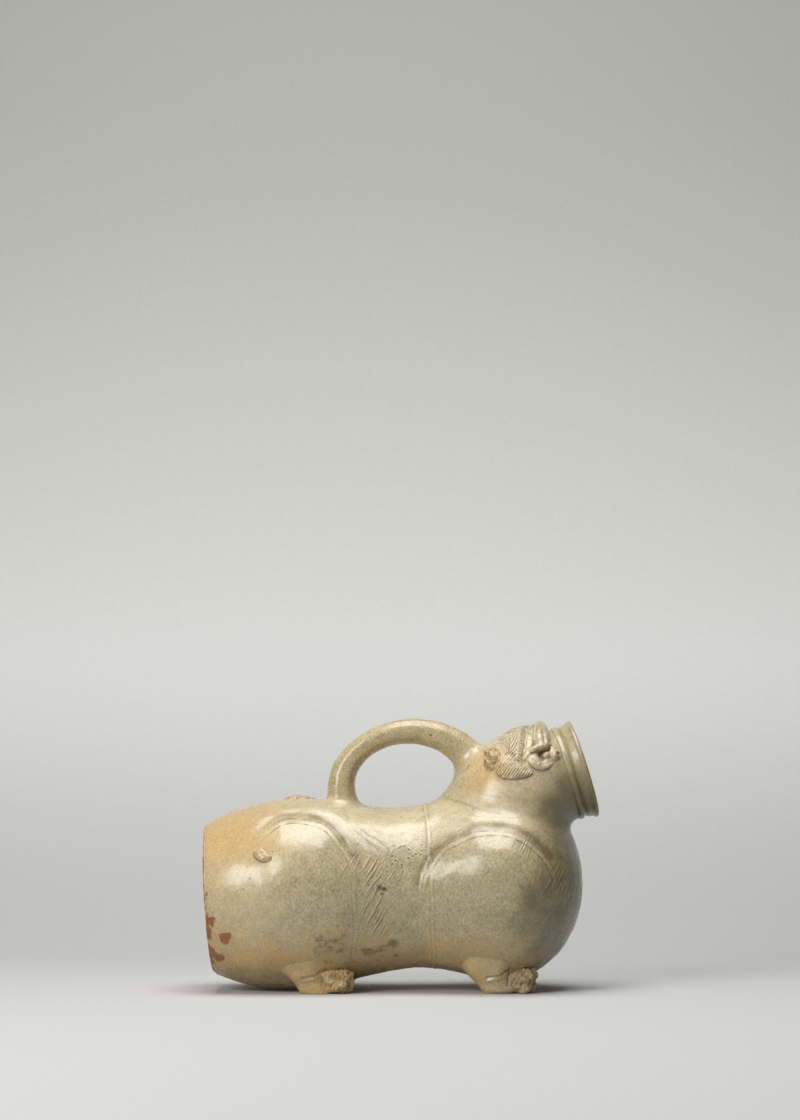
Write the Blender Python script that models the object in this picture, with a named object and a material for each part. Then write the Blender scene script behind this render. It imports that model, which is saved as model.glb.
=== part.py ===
"""Tiger-shaped stoneware vessel, luted together from thrown and hand-built pieces.

A waisted body lies on its side, a bent neck rises from its chest and opens in a round mouth, an
arched handle runs from the back to the nape, and four short legs carry it. The face is applied clay.

Metres, +Z up, +X towards the mouth, +Y towards the tiger's left. The origin is on the table, under
the middle of the vessel. Pieces are built on a drawing whose X starts at the centre of the base, and
the empty named vessel moves the drawing to that origin.
"""

import math

import bmesh
import bpy
from mathutils import Matrix, Vector

MM = 0.001

# Slip in the luted joints: the gap between two pieces that meet
SLIP = 0.3 * MM

# Thrown body, along its own axis
BELLY_GAP = 0.9 * MM
CHEST_GAP = 7.4 * MM
BASE_RADIUS = 45.4 * MM
BASE_THICKNESS = 6.0 * MM
BASE_EDGE = 1.5 * MM
HAUNCH_LENGTH = 56.5 * MM
HAUNCH_RADIUS = 58.2 * MM
HAUNCH_FULLNESS = 2.4
LOIN_LENGTH = 63.3 * MM
WAIST_RADIUS = 49.4 * MM
SEAM_FROM_WAIST = 15.8 * MM
SHOULDER_LENGTH = 61.5 * MM
CHEST_RADIUS = 58.9 * MM
DOME_LENGTH = 47.9 * MM
BODY_WALL = 6.5 * MM
SCARF = 3.0 * MM

# Neck: round sections that swing about a bend over the chest, from the mouth back to the nape
THROAT_ANGLE = math.radians(26.2)
THROAT_FILLET = 8.0 * MM
THROAT_BITE = 1.2 * MM
MOUTH_TILT = math.radians(17.5)
NAPE_SWING = math.radians(75.0)
NECK_END_SWING = math.radians(100.0)
COLLAR_DIAMETER = 56.8 * MM
NAPE_DIAMETER = 77.0 * MM
NECK_WALL = 5.5 * MM
SKIRT_SWING = math.radians(62.0)
SKIRT_FLARE = 2.5 * MM

# Mouth rim, along the mouth's axis
RIM_LENGTH = 12.7 * MM
LIP_RADIUS = 30.9 * MM
LIP_THICKNESS = 3.6 * MM
LIP_ROUND = 1.2 * MM
FLANGE_LENGTH = 6.6 * MM
FLANGE_STEP = 1.9 * MM
FLANGE_HOLLOW = 0.6
RIM_GROOVE = 0.9 * MM
RIM_BEAD = 0.8 * MM

# Handle
HANDLE_REACH = 36.8 * MM
HANDLE_SWING = math.radians(65.5)
HANDLE_BITE = 20.7 * MM
HANDLE_RISE = 34.5 * MM
HANDLE_THICKNESS = 14.2 * MM
HANDLE_WIDTH = 18.0 * MM
HANDLE_BACK_FLARE = 2.0 * MM
HANDLE_NAPE_FLARE = 8.0 * MM
HANDLE_SIDE_FLARE = 3.0 * MM

# Legs and paws
REAR_HEEL_FROM_HAUNCH = -0.5 * MM
FRONT_HEEL_FROM_CHEST = -15.0 * MM
REAR_LEG_SPREAD = 31.0 * MM
FRONT_LEG_SPREAD = 28.0 * MM
FOOT_LENGTH = 20.6 * MM
FOOT_HEIGHT = 5.0 * MM
FOOT_HALF_WIDTH = 9.0 * MM
SOLE_EDGE = 1.0 * MM
LEG_SQUARENESS = 2.6
HEEL_BACK = 2.7 * MM
HOCK_HEIGHT = 13.0 * MM
HOCK_BACK = 10.0 * MM
HOCK_FRONT = 17.0 * MM
THIGH_HEIGHT = 21.0 * MM
THIGH_BACK = 11.5 * MM
THIGH_FRONT = 20.0 * MM
THIGH_HALF_WIDTH = 12.0 * MM
THIGH_ROOT_HEIGHT = 36.0 * MM
PAW_LENGTH = 16.4 * MM
PAW_WIDTH = 18.6 * MM
PAW_HEIGHT = 15.2 * MM
PAW_SOLE_SINK = 0.4 * MM
PAW_OVERLAP = 3.4 * MM
TOE_GROOVE = 0.9 * MM
TOE_CREASE = math.radians(11.0)
TOE_SPACING = math.radians(36.0)
TOE_GAPS = (-TOE_SPACING, 0.0, TOE_SPACING)

# Face pieces, placed on the neck by swing and by roll, which is zero at the crown
NOSE_FROM_RIM = 0.9 * MM
NOSE_LENGTH = 9.5 * MM
NOSE_ROLL = math.radians(43.0)
NOSE_RISE = 5.4 * MM
NOSE_SQUARENESS = 3.0
FOREHEAD_GAP = 1.2 * MM
FOREHEAD_LENGTH = 21.5 * MM
FOREHEAD_ROLL = math.radians(50.0)
FOREHEAD_RISE = 2.7 * MM
FOREHEAD_SQUARENESS = 2.6
EAR_GAP = 1.5 * MM
EAR_ROLL = math.radians(37.0)
EAR_LENGTH = 10.0 * MM
EAR_WIDTH = 11.5 * MM
EAR_RISE = 4.6 * MM
RUFF_SWING = math.radians(51.3)
RUFF_ROLL = math.radians(72.5)
RUFF_TURN = math.radians(-59.0)
RUFF_LENGTH = 23.0 * MM
RUFF_WIDTH = 10.6 * MM
RUFF_RISE = 2.4 * MM
NOSTRIL_FROM_RIM = 0.6 * MM
NOSTRIL_ROLL = math.radians(71.5)
NOSTRIL_DIAMETER = 6.0 * MM
NOSTRIL_RISE = 3.6 * MM
NOSTRIL_GAP = 0.6 * MM
EYE_DIAMETER = 4.4 * MM
EYE_RISE = 2.4 * MM
SOCKET_GAP = 1.9 * MM
BROW_WIDTH = 3.6 * MM
BROW_RISE = 2.6 * MM
BROW_SWEEP = 2.6 * MM
BROW_START = math.radians(55.0)
BROW_END = math.radians(186.0)
CHEEK_WIDTH = 4.4 * MM
CHEEK_RISE = 2.0 * MM
CHEEK_SWEEP = 5.2 * MM
CHEEK_START = math.radians(204.0)
CHEEK_END = math.radians(304.0)

# Tail: a strip on the back, and a broken tip on the right haunch
TAIL_ROOT_FROM_HAUNCH = 2.2 * MM
TAIL_ROOT_LENGTH = 21.0 * MM
TAIL_ROOT_WIDTH = 10.0 * MM
TAIL_ROOT_RISE = 2.4 * MM
TAIL_TIP_FROM_HAUNCH = -19.0 * MM
TAIL_TIP_ROLL = math.radians(63.5)
TAIL_TIP_LENGTH = 10.5 * MM
TAIL_TIP_WIDTH = 7.0 * MM
TAIL_TIP_RISE = 3.0 * MM
TAIL_TIP_TURN = math.radians(62.0)

# Fired surfaces: colour and roughness
BUFF_GLAZE = ((0.50, 0.40, 0.22), 0.35)
OLIVE_GLAZE = ((0.38, 0.34, 0.21), 0.32)
GRITTY_GLAZE = ((0.40, 0.32, 0.20), 0.55)
BARE_CLAY = ((0.42, 0.20, 0.09), 0.75)

# Facets
BODY_STEPS = 40
HAUNCH_RINGS = 7
LOIN_RINGS = 7
SEAM_RINGS = 4
SHOULDER_RINGS = 6
DOME_RINGS = 9
NECK_STEPS = 36
NECK_RINGS = 13
HANDLE_STEPS = 14
HANDLE_RINGS = 24
HANDLE_LIMB_RINGS = 5
LEG_STEPS = 20
PAW_STEPS = 20
PAW_RINGS = 6
PAW_CROWN = math.radians(76.0)
RIBBON_RINGS = 9
RIBBON_TIP = 0.3
RIBBON_SIDE = ((0.4, 0.9), (0.9, 0.4), (1.0, 0.0))
RIBBON_SECTION = [(-across, lift) for across, lift in reversed(RIBBON_SIDE)] + [*RIBBON_SIDE, (0.0, 0.0)]
NOSE_STEPS = 20
FOREHEAD_STEPS = 34
EAR_STEPS = 14
PELLET_STEPS = 12
RUFF_STEPS = 20
TAIL_ROOT_STEPS = 18
TAIL_TIP_STEPS = 14
LEAF_POINT = 0.4
PAD_EDGE = 0.2
PAD_MIDDLE = 0.15
PAD_FACET = 4.6 * MM
PAD_LEAST_RINGS = 3
WELD = 0.001 * MM
SHARP = math.radians(35.0)

# What follows from the sizes above
HAUNCH_STATION = HAUNCH_LENGTH
WAIST_STATION = HAUNCH_STATION + LOIN_LENGTH
SEAM_STATION = WAIST_STATION + SEAM_FROM_WAIST
CHEST_STATION = WAIST_STATION + SHOULDER_LENGTH
HAUNCH_HEIGHT = BELLY_GAP + HAUNCH_RADIUS
CHEST_HEIGHT = CHEST_GAP + CHEST_RADIUS
BODY_TILT = math.asin((CHEST_HEIGHT - HAUNCH_HEIGHT) / (CHEST_STATION - HAUNCH_STATION))
BASE_HEIGHT = HAUNCH_HEIGHT - HAUNCH_STATION * math.sin(BODY_TILT)
BODY_FRAME = Matrix.Translation((0.0, 0.0, BASE_HEIGHT)) @ Matrix.Rotation(-BODY_TILT, 4, "Y")


def ease(share):
    """Runs smoothly from 0 to 1 as share does, level at both ends."""
    share = min(1.0, max(0.0, share))
    return 0.5 - 0.5 * math.cos(math.pi * share)


def spaced(first, last, count):
    """Evenly spaced values from first to last, both included."""
    return [first + (last - first) * k / (count - 1) for k in range(count)]


def body_radius(station, grow=0.0):
    """Outer radius of the thrown body at a station on its axis, with the skin moved out by grow."""
    if station <= HAUNCH_STATION:
        share = (HAUNCH_STATION - station) / HAUNCH_LENGTH
        return HAUNCH_RADIUS - (HAUNCH_RADIUS - BASE_RADIUS) * share ** HAUNCH_FULLNESS + grow
    if station <= WAIST_STATION:
        fall = ease((station - HAUNCH_STATION) / LOIN_LENGTH)
        return HAUNCH_RADIUS + (WAIST_RADIUS - HAUNCH_RADIUS) * fall + grow
    if station <= CHEST_STATION:
        climb = ease((station - WAIST_STATION) / SHOULDER_LENGTH)
        return WAIST_RADIUS + (CHEST_RADIUS - WAIST_RADIUS) * climb + grow
    share = min(1.0, (station - CHEST_STATION) / (DOME_LENGTH + grow))
    return (CHEST_RADIUS + grow) * math.sqrt(1.0 - share * share)


def body_point(station, roll, lift):
    """Point over the body's skin. Roll is 0 on the back and turns towards the tiger's right."""
    reach = body_radius(station) + lift
    return BODY_FRAME @ Vector((station, -reach * math.sin(roll), reach * math.cos(roll)))


def body_scale(station, roll):
    """Metres per unit of station and metres per radian of roll on the body's skin."""
    return 1.0, body_radius(station)


def throat_bend():
    """Centre that the neck's sections swing about, just off the chest's dome."""
    dome = Vector((DOME_LENGTH * math.cos(THROAT_ANGLE), 0.0, CHEST_RADIUS * math.sin(THROAT_ANGLE)))
    outward = Vector((math.cos(THROAT_ANGLE) / DOME_LENGTH, 0.0, math.sin(THROAT_ANGLE) / CHEST_RADIUS))
    offset = dome + outward.normalized() * (THROAT_FILLET - THROAT_BITE)
    return BODY_FRAME @ (Vector((CHEST_STATION, 0.0, 0.0)) + offset)


BEND = throat_bend()


def neck_radius(swing):
    """Outer radius of the neck's section at a swing, which fills out to the nape and flares at the foot."""
    share = min(1.0, (swing - MOUTH_TILT) / (NAPE_SWING - MOUTH_TILT))
    fill = math.sin(0.5 * math.pi * max(0.0, share))
    flare = ease((swing - SKIRT_SWING) / (NECK_END_SWING - SKIRT_SWING))
    return 0.5 * (COLLAR_DIAMETER + (NAPE_DIAMETER - COLLAR_DIAMETER) * fill) + SKIRT_FLARE * flare


def neck_axis(swing):
    """Centre of the neck's section at a swing, and the direction from the bend through it."""
    out = Vector((-math.sin(swing), 0.0, math.cos(swing)))
    return BEND + out * (THROAT_FILLET + neck_radius(swing)), out


def neck_point(swing, roll, lift):
    """Point over the neck's skin. Roll is 0 at the crown and turns towards the tiger's right."""
    centre, out = neck_axis(swing)
    reach = neck_radius(swing) + lift
    return centre + out * (reach * math.cos(roll)) + Vector((0.0, -reach * math.sin(roll), 0.0))


def neck_scale(swing, roll):
    """Metres per radian of swing, counted back from the mouth, and per radian of roll."""
    radius = neck_radius(swing)
    return -(THROAT_FILLET + radius * (1.0 + math.cos(roll))), radius


def neck_ring(swing, lift):
    """Closed round section of the neck's skin moved out by lift."""
    return [neck_point(swing, math.tau * k / NECK_STEPS, lift) for k in range(NECK_STEPS)]


def clear_scene():
    """Removes every object of the open scene."""
    for thing in list(bpy.data.objects):
        bpy.data.objects.remove(thing)


def finish(name, colour, roughness):
    """Material with the colour and gloss of one fired surface."""
    material = bpy.data.materials.new(name)
    material.use_nodes = True
    shader = material.node_tree.nodes["Principled BSDF"]
    shader.inputs["Base Color"].default_value = (*colour, 1.0)
    shader.inputs["Roughness"].default_value = roughness
    shader.inputs["Metallic"].default_value = 0.0
    return material


def empty(name, parent=None, matrix=None):
    """Empty that carries pieces."""
    holder = bpy.data.objects.new(name, None)
    bpy.context.collection.objects.link(holder)
    holder.parent = parent
    if matrix is not None:
        holder.matrix_local = matrix
    return holder


def piece(name, shape, material, parent, location=(0.0, 0.0, 0.0)):
    """Turns a bmesh into a named object on its parent."""
    bmesh.ops.recalc_face_normals(shape, faces=shape.faces)
    mesh = bpy.data.meshes.new(name)
    shape.to_mesh(mesh)
    shape.free()
    mesh.shade_smooth()
    mesh.set_sharp_from_angle(angle=SHARP)
    mesh.materials.append(material)
    thing = bpy.data.objects.new(name, mesh)
    bpy.context.collection.objects.link(thing)
    thing.parent = parent
    thing.location = location
    return thing


def as_cutter(thing):
    """Marks an object as a cutter, which is no part of the vessel."""
    thing.hide_render = True
    thing.display_type = "WIRE"
    return thing


def cut(target, cutter):
    """Takes a cutter's space out of a piece."""
    step = target.modifiers.new(f"clear_{cutter.name}", "BOOLEAN")
    step.operation = "DIFFERENCE"
    step.solver = "EXACT"
    step.object = cutter


def turned(outline, steps, closed):
    """Spins an outline of (station, radius) points about the X axis."""
    shape = bmesh.new()
    points = [shape.verts.new((station, 0.0, radius)) for station, radius in outline]
    edges = [shape.edges.new(pair) for pair in zip(points, points[1:])]
    if closed:
        edges.append(shape.edges.new((points[-1], points[0])))
    bmesh.ops.spin(
        shape,
        geom=points + edges,
        axis=(1.0, 0.0, 0.0),
        cent=(0.0, 0.0, 0.0),
        angle=math.tau,
        steps=steps,
    )
    bmesh.ops.remove_doubles(shape, verts=shape.verts, dist=WELD)
    return shape


def lofted(rings, looped=False):
    """Skins a row of rings with equal counts of points. The ends are capped unless the row is looped."""
    shape = bmesh.new()
    loops = [[shape.verts.new(point) for point in ring] for ring in rings]
    pairs = list(zip(loops, loops[1:]))
    if looped:
        pairs.append((loops[-1], loops[0]))
    for near, far in pairs:
        for k in range(len(near)):
            nearer, farther = near[k - 1], far[k - 1]
            shape.faces.new((nearer, near[k], far[k], farther))
    if not looped:
        shape.faces.new(loops[0])
        shape.faces.new(loops[-1])
    return shape


def barrel_stations(first, last):
    """Stations along the body's walls between two cuts."""
    knots = [first, HAUNCH_STATION, WAIST_STATION, last]
    counts = (HAUNCH_RINGS, LOIN_RINGS, SEAM_RINGS)
    stations = [first]
    for start, end, count in zip(knots, knots[1:], counts):
        stations += spaced(start, end, count)[1:]
    return stations


def dome_stations(first, grow):
    """Stations from a cut to the tip of the chest, closer together where the dome curves in."""
    shoulder = spaced(first, CHEST_STATION, SHOULDER_RINGS)
    turns = spaced(0.0, 0.5 * math.pi, DOME_RINGS)[1:]
    return shoulder + [CHEST_STATION + (DOME_LENGTH + grow) * math.sin(turn) for turn in turns]


def base_disc(axis, clay):
    """Flat disc that closes the rear end, with a worn edge."""
    rim = body_radius(0.0)
    outline = [
        (0.0, 0.0),
        (0.0, rim - BASE_EDGE),
        (BASE_EDGE, body_radius(BASE_EDGE)),
        (BASE_THICKNESS, body_radius(BASE_THICKNESS)),
        (BASE_THICKNESS, 0.0),
    ]
    return piece("base_disc", turned(outline, BODY_STEPS, closed=False), clay, axis)


def rear_barrel(axis, glaze):
    """Thrown wall from the base to the waist seam, where its edge is scarfed forwards on the inside."""
    first = BASE_THICKNESS + SLIP
    outer = [(s, body_radius(s)) for s in barrel_stations(first, SEAM_STATION)]
    inner = [(s, body_radius(s, -BODY_WALL)) for s in barrel_stations(first, SEAM_STATION + SCARF)]
    return piece("rear_barrel", turned(outer + inner[::-1], BODY_STEPS, closed=True), glaze, axis)


def chest_bulb(axis, glaze):
    """Thrown dome from the waist seam to the tip of the chest."""
    first = SEAM_STATION + SLIP
    outer = [(s, body_radius(s)) for s in dome_stations(first, 0.0)]
    inner = [(s, body_radius(s, -BODY_WALL)) for s in dome_stations(first + SCARF, -BODY_WALL)]
    return piece("chest_bulb", turned(outer[::-1] + inner, BODY_STEPS, closed=False), glaze, axis)


def body_solid(axis, clay):
    """Solid of the whole body's outside, grown by the slip, that clears what sits on it."""
    stations = barrel_stations(BASE_THICKNESS + SLIP, SEAM_STATION)
    stations += dome_stations(SEAM_STATION + SLIP, SLIP)
    outline = [(0.0, 0.0), (0.0, body_radius(0.0, SLIP))]
    outline += [(s, body_radius(s, SLIP)) for s in stations]
    return as_cutter(piece("body_solid", turned(outline, BODY_STEPS, closed=False), clay, axis))


def neck_swings():
    """Swings of the neck's sections, from the mouth rim to its end inside the body."""
    return spaced(MOUTH_TILT, NECK_END_SWING, NECK_RINGS)


def neck(vessel, glaze, body):
    """Bent tube whose foot is cut to a saddle on the body."""
    outer = [neck_ring(swing, 0.0) for swing in neck_swings()]
    inner = [neck_ring(swing, -NECK_WALL) for swing in reversed(neck_swings())]
    tube = piece("neck", lofted(outer + inner, looped=True), glaze, vessel)
    cut(tube, body)
    return tube


def neck_solid(vessel, clay):
    """Solid of the neck's outside, grown by the slip, that clears the root of the handle."""
    shape = lofted([neck_ring(swing, SLIP) for swing in neck_swings()])
    return as_cutter(piece("neck_solid", shape, clay, vessel))


def throat_solid(vessel, clay):
    """Solid of the neck's bore, that opens the chest under the neck."""
    shape = lofted([neck_ring(swing, -NECK_WALL) for swing in neck_swings()])
    return as_cutter(piece("throat_solid", shape, clay, vessel))


def mouth_frame():
    """Frame on the mouth's axis with its origin in the plane of the lip."""
    centre, _ = neck_axis(MOUTH_TILT)
    turn = Matrix.Rotation(-MOUTH_TILT, 4, "Y")
    return Matrix.Translation(centre) @ turn @ Matrix.Translation((RIM_LENGTH, 0.0, 0.0))


def rim_outline():
    """Outline of the mouth rim: bead, groove and flaring flange outside, a narrowing dish inside."""
    collar = 0.5 * COLLAR_DIAMETER
    bore = collar - NECK_WALL
    joint = SLIP - RIM_LENGTH
    groove = 0.5 * (joint - FLANGE_LENGTH)
    bead = 0.5 * (joint + groove)
    flange = LIP_RADIUS - FLANGE_STEP
    outside = [
        (joint, collar),
        (bead - RIM_BEAD, collar + RIM_BEAD),
        (bead + RIM_BEAD, collar + RIM_BEAD),
        (groove, flange - RIM_GROOVE),
        (-FLANGE_LENGTH, flange),
        (-0.5 * FLANGE_LENGTH, LIP_RADIUS - FLANGE_HOLLOW * FLANGE_STEP),
        (-LIP_ROUND, LIP_RADIUS),
        (0.0, LIP_RADIUS - LIP_ROUND),
    ]
    inside = [
        (0.0, LIP_RADIUS - LIP_THICKNESS + LIP_ROUND),
        (-LIP_ROUND, LIP_RADIUS - LIP_THICKNESS),
        (-FLANGE_LENGTH, bore),
        (joint, bore),
    ]
    return outside + inside


def mouth_rim(axis, glaze):
    """Turned ring round the mouth."""
    return piece("mouth_rim", turned(rim_outline(), NECK_STEPS, closed=True), glaze, axis)


def handle_path():
    """Middle points of the handle and its outward directions, up from the back and over to the nape."""
    back = body_point(WAIST_STATION - HANDLE_REACH, 0.0, 0.0)
    front = neck_point(HANDLE_SWING, 0.0, -HANDLE_BITE)
    half = 0.5 * (front.x - back.x)
    limb = spaced(back.z - BODY_WALL, front.z, HANDLE_LIMB_RINGS)[:-1]
    path = [(Vector((back.x, 0.0, z)), Vector((-1.0, 0.0, 0.0))) for z in limb]
    for turn in spaced(math.pi, 0.0, HANDLE_RINGS):
        point = Vector((back.x + half + half * math.cos(turn), 0.0, front.z + HANDLE_RISE * math.sin(turn)))
        outward = Vector((math.cos(turn) / half, 0.0, math.sin(turn) / HANDLE_RISE))
        path.append((point, outward.normalized()))
    return path


def handle(vessel, glaze, body, nape):
    """Arched oval strap, thicker inside the arch at its roots, cut to the back and the nape."""
    path = handle_path()
    rings = []
    for index, (point, outward) in enumerate(path):
        share = 2.0 * index / (len(path) - 1) - 1.0
        flare = (HANDLE_BACK_FLARE if share < 0.0 else HANDLE_NAPE_FLARE) * share * share
        thick = 0.5 * HANDLE_THICKNESS + flare
        wide = 0.5 * HANDLE_WIDTH + HANDLE_SIDE_FLARE * share * share
        middle = point - outward * flare
        ring = []
        for k in range(HANDLE_STEPS):
            turn = math.tau * k / HANDLE_STEPS
            side = Vector((0.0, wide * math.sin(turn), 0.0))
            ring.append(middle + outward * (thick * math.cos(turn)) + side)
        rings.append(ring)
    strap = piece("handle", lofted(rings), glaze, vessel)
    cut(strap, body)
    cut(strap, nape)
    return strap


def oval(length, width, count, squareness=2.0):
    """Points of a rounded outline, an ellipse at squareness 2 and boxier above it."""
    points = []
    for k in range(count):
        turn = math.tau * k / count
        x, y = math.cos(turn), math.sin(turn)
        along = math.copysign(abs(x) ** (2.0 / squareness), x)
        across = math.copysign(abs(y) ** (2.0 / squareness), y)
        points.append((0.5 * length * along, 0.5 * width * across))
    return points


def leaf(length, width, count):
    """Points of a leaf outline, blunt at the back and drawn to a tip in front."""
    points = []
    for k in range(count):
        turn = math.tau * k / count
        across = math.sin(turn) * (1.0 - LEAF_POINT * math.cos(turn))
        points.append((0.5 * length * math.cos(turn), 0.5 * width * across))
    return points


def leg_ring(height, back, front, half_width):
    """Level section of a leg, from its back to its front."""
    middle = 0.5 * (front + back)
    outline = oval(front - back, 2.0 * half_width, LEG_STEPS, LEG_SQUARENESS)
    return [Vector((middle + x, y, height)) for x, y in outline]


def paw_middle():
    """How far the middle of the paw lies in front of the heel."""
    return FOOT_LENGTH - PAW_OVERLAP + 0.5 * PAW_LENGTH


def paw_shape(grow, foot):
    """Ball of clay with three creases between its toes, cut level at the height of foot."""
    long = 0.5 * PAW_LENGTH + grow
    wide = 0.5 * PAW_WIDTH + grow
    high = 0.5 * (PAW_HEIGHT + PAW_SOLE_SINK)
    middle = high - PAW_SOLE_SINK
    first = math.asin((foot - middle) / (high + grow))
    rings = []
    for rise in spaced(first, PAW_CROWN, PAW_RINGS):
        ring = []
        for k in range(PAW_STEPS):
            turn = math.tau * k / PAW_STEPS
            facing = math.remainder(turn, math.tau)
            crease = sum(math.exp(-(((facing - gap) / TOE_CREASE) ** 2)) for gap in TOE_GAPS)
            reach = math.cos(rise) * (1.0 - TOE_GROOVE / long * crease)
            height = middle + (high + grow) * math.sin(rise)
            ring.append(Vector((long * reach * math.cos(turn), wide * reach * math.sin(turn), height)))
        rings.append(ring)
    return lofted(rings)


def leg_and_paw(name, heel, side, spread, vessel, glaze, clay, body):
    """One short leg with a flat sole, cut to the belly, and the paw pressed on its front end."""
    half = 0.5 * (FOOT_HALF_WIDTH + THIGH_HALF_WIDTH)
    rings = [
        leg_ring(0.0, SOLE_EDGE, FOOT_LENGTH - SOLE_EDGE, FOOT_HALF_WIDTH - SOLE_EDGE),
        leg_ring(SOLE_EDGE, 0.0, FOOT_LENGTH, FOOT_HALF_WIDTH),
        leg_ring(FOOT_HEIGHT, -HEEL_BACK, FOOT_LENGTH, FOOT_HALF_WIDTH),
        leg_ring(HOCK_HEIGHT, -HOCK_BACK, HOCK_FRONT, half),
        leg_ring(THIGH_HEIGHT, -THIGH_BACK, THIGH_FRONT, THIGH_HALF_WIDTH),
        leg_ring(THIGH_ROOT_HEIGHT, -THIGH_BACK, THIGH_FRONT, THIGH_HALF_WIDTH),
    ]
    place = (heel, side * spread, 0.0)
    toes = (heel + paw_middle(), side * spread, 0.0)
    leg = piece(f"{name}_leg", lofted(rings), glaze, vessel, place)
    paw = piece(f"{name}_paw", paw_shape(0.0, 0.0), clay, vessel, toes)
    press = as_cutter(piece(f"{name}_press", paw_shape(SLIP, -SLIP), clay, vessel, toes))
    cut(leg, body)
    cut(leg, press)
    cut(paw, body)


def walk(skin_scale, place, along, across):
    """Moves over a skin from a place: along its turned length and across it. Gives its two angles."""
    start, roll, turn = place
    ahead = along * math.cos(turn) - across * math.sin(turn)
    aside = along * math.sin(turn) + across * math.cos(turn)
    _, per_roll = skin_scale(start, roll)
    new_roll = roll - aside / per_roll
    per_start, _ = skin_scale(start, new_roll)
    return start + ahead / per_start, new_roll


def pad(name, skin, place, outline, rise, side, vessel, material):
    """Domed pad of clay pressed on a skin, with its underside a slip's width over it."""
    point, scale = skin
    reach = max(math.hypot(along, across) for along, across in outline)
    shares = spaced(PAD_MIDDLE, 1.0, max(PAD_LEAST_RINGS, math.ceil(reach / PAD_FACET) + 1))
    domes = [PAD_EDGE + (1.0 - PAD_EDGE) * math.cos(0.5 * math.pi * share) for share in shares]
    levels = [(share, rise * dome) for share, dome in zip(shares, domes)]
    levels += [(share, 0.0) for share in reversed(shares)]
    rings = []
    for share, lift in levels:
        ring = []
        for along, across in outline:
            start, roll = walk(scale, place, along * share, across * share)
            ring.append(point(start, side * roll, SLIP + lift))
        rings.append(ring)
    return piece(name, lofted(rings), material, vessel)


def ribbon(name, skin, place, bend, width, rise, side, vessel, material):
    """Curled ridge of clay on a skin. Bend gives its first and last angle and its radius at each."""
    point, scale = skin
    first, last, first_radius, last_radius = bend
    rings = []
    for share in spaced(0.0, 1.0, RIBBON_RINGS):
        turn = first + (last - first) * share
        radius = first_radius + (last_radius - first_radius) * share
        full = RIBBON_TIP + (1.0 - RIBBON_TIP) * math.sin(math.pi * share)
        ring = []
        for across, lift in RIBBON_SECTION:
            reach = radius + 0.5 * width * full * across
            start, roll = walk(scale, place, reach * math.cos(turn), reach * math.sin(turn))
            ring.append(point(start, side * roll, SLIP + rise * full * lift))
        rings.append(ring)
    return piece(name, lofted(rings), material, vessel)


NECK_SKIN = (neck_point, neck_scale)
BODY_SKIN = (body_point, body_scale)


def crown_places():
    """Swings of the nose, the forehead pad and the ears, one behind the other from the rim."""
    nose, _ = walk(neck_scale, (MOUTH_TILT, 0.0, 0.0), -(NOSE_FROM_RIM + 0.5 * NOSE_LENGTH), 0.0)
    behind = 0.5 * NOSE_LENGTH + FOREHEAD_GAP + 0.5 * FOREHEAD_LENGTH
    forehead, _ = walk(neck_scale, (nose, 0.0, 0.0), -behind, 0.0)
    behind = 0.5 * FOREHEAD_LENGTH + EAR_GAP + 0.5 * EAR_LENGTH
    ear, _ = walk(neck_scale, (forehead, EAR_ROLL, 0.0), -behind, 0.0)
    return nose, forehead, ear


def face(vessel, glaze):
    """Applied face: nose and forehead over the crown, and a mirrored set of pieces on each side."""
    nose, forehead, ear = crown_places()
    across = 2.0 * NOSE_ROLL * neck_radius(nose)
    outline = oval(NOSE_LENGTH, across, NOSE_STEPS, NOSE_SQUARENESS)
    pad("nose", NECK_SKIN, (nose, 0.0, 0.0), outline, NOSE_RISE, 1, vessel, glaze)
    across = 2.0 * FOREHEAD_ROLL * neck_radius(forehead)
    outline = oval(FOREHEAD_LENGTH, across, FOREHEAD_STEPS, FOREHEAD_SQUARENESS)
    pad("forehead_pad", NECK_SKIN, (forehead, 0.0, 0.0), outline, FOREHEAD_RISE, 1, vessel, glaze)
    for name, side in (("right", 1), ("left", -1)):
        outline = oval(EAR_LENGTH, EAR_WIDTH, EAR_STEPS)
        pad(f"{name}_ear", NECK_SKIN, (ear, EAR_ROLL, 0.0), outline, EAR_RISE, side, vessel, glaze)
        outline = leaf(RUFF_LENGTH, RUFF_WIDTH, RUFF_STEPS)
        place = (RUFF_SWING, RUFF_ROLL, RUFF_TURN)
        pad(f"{name}_ruff", NECK_SKIN, place, outline, RUFF_RISE, side, vessel, glaze)
        eye_and_snout(name, side, vessel, glaze)


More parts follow.
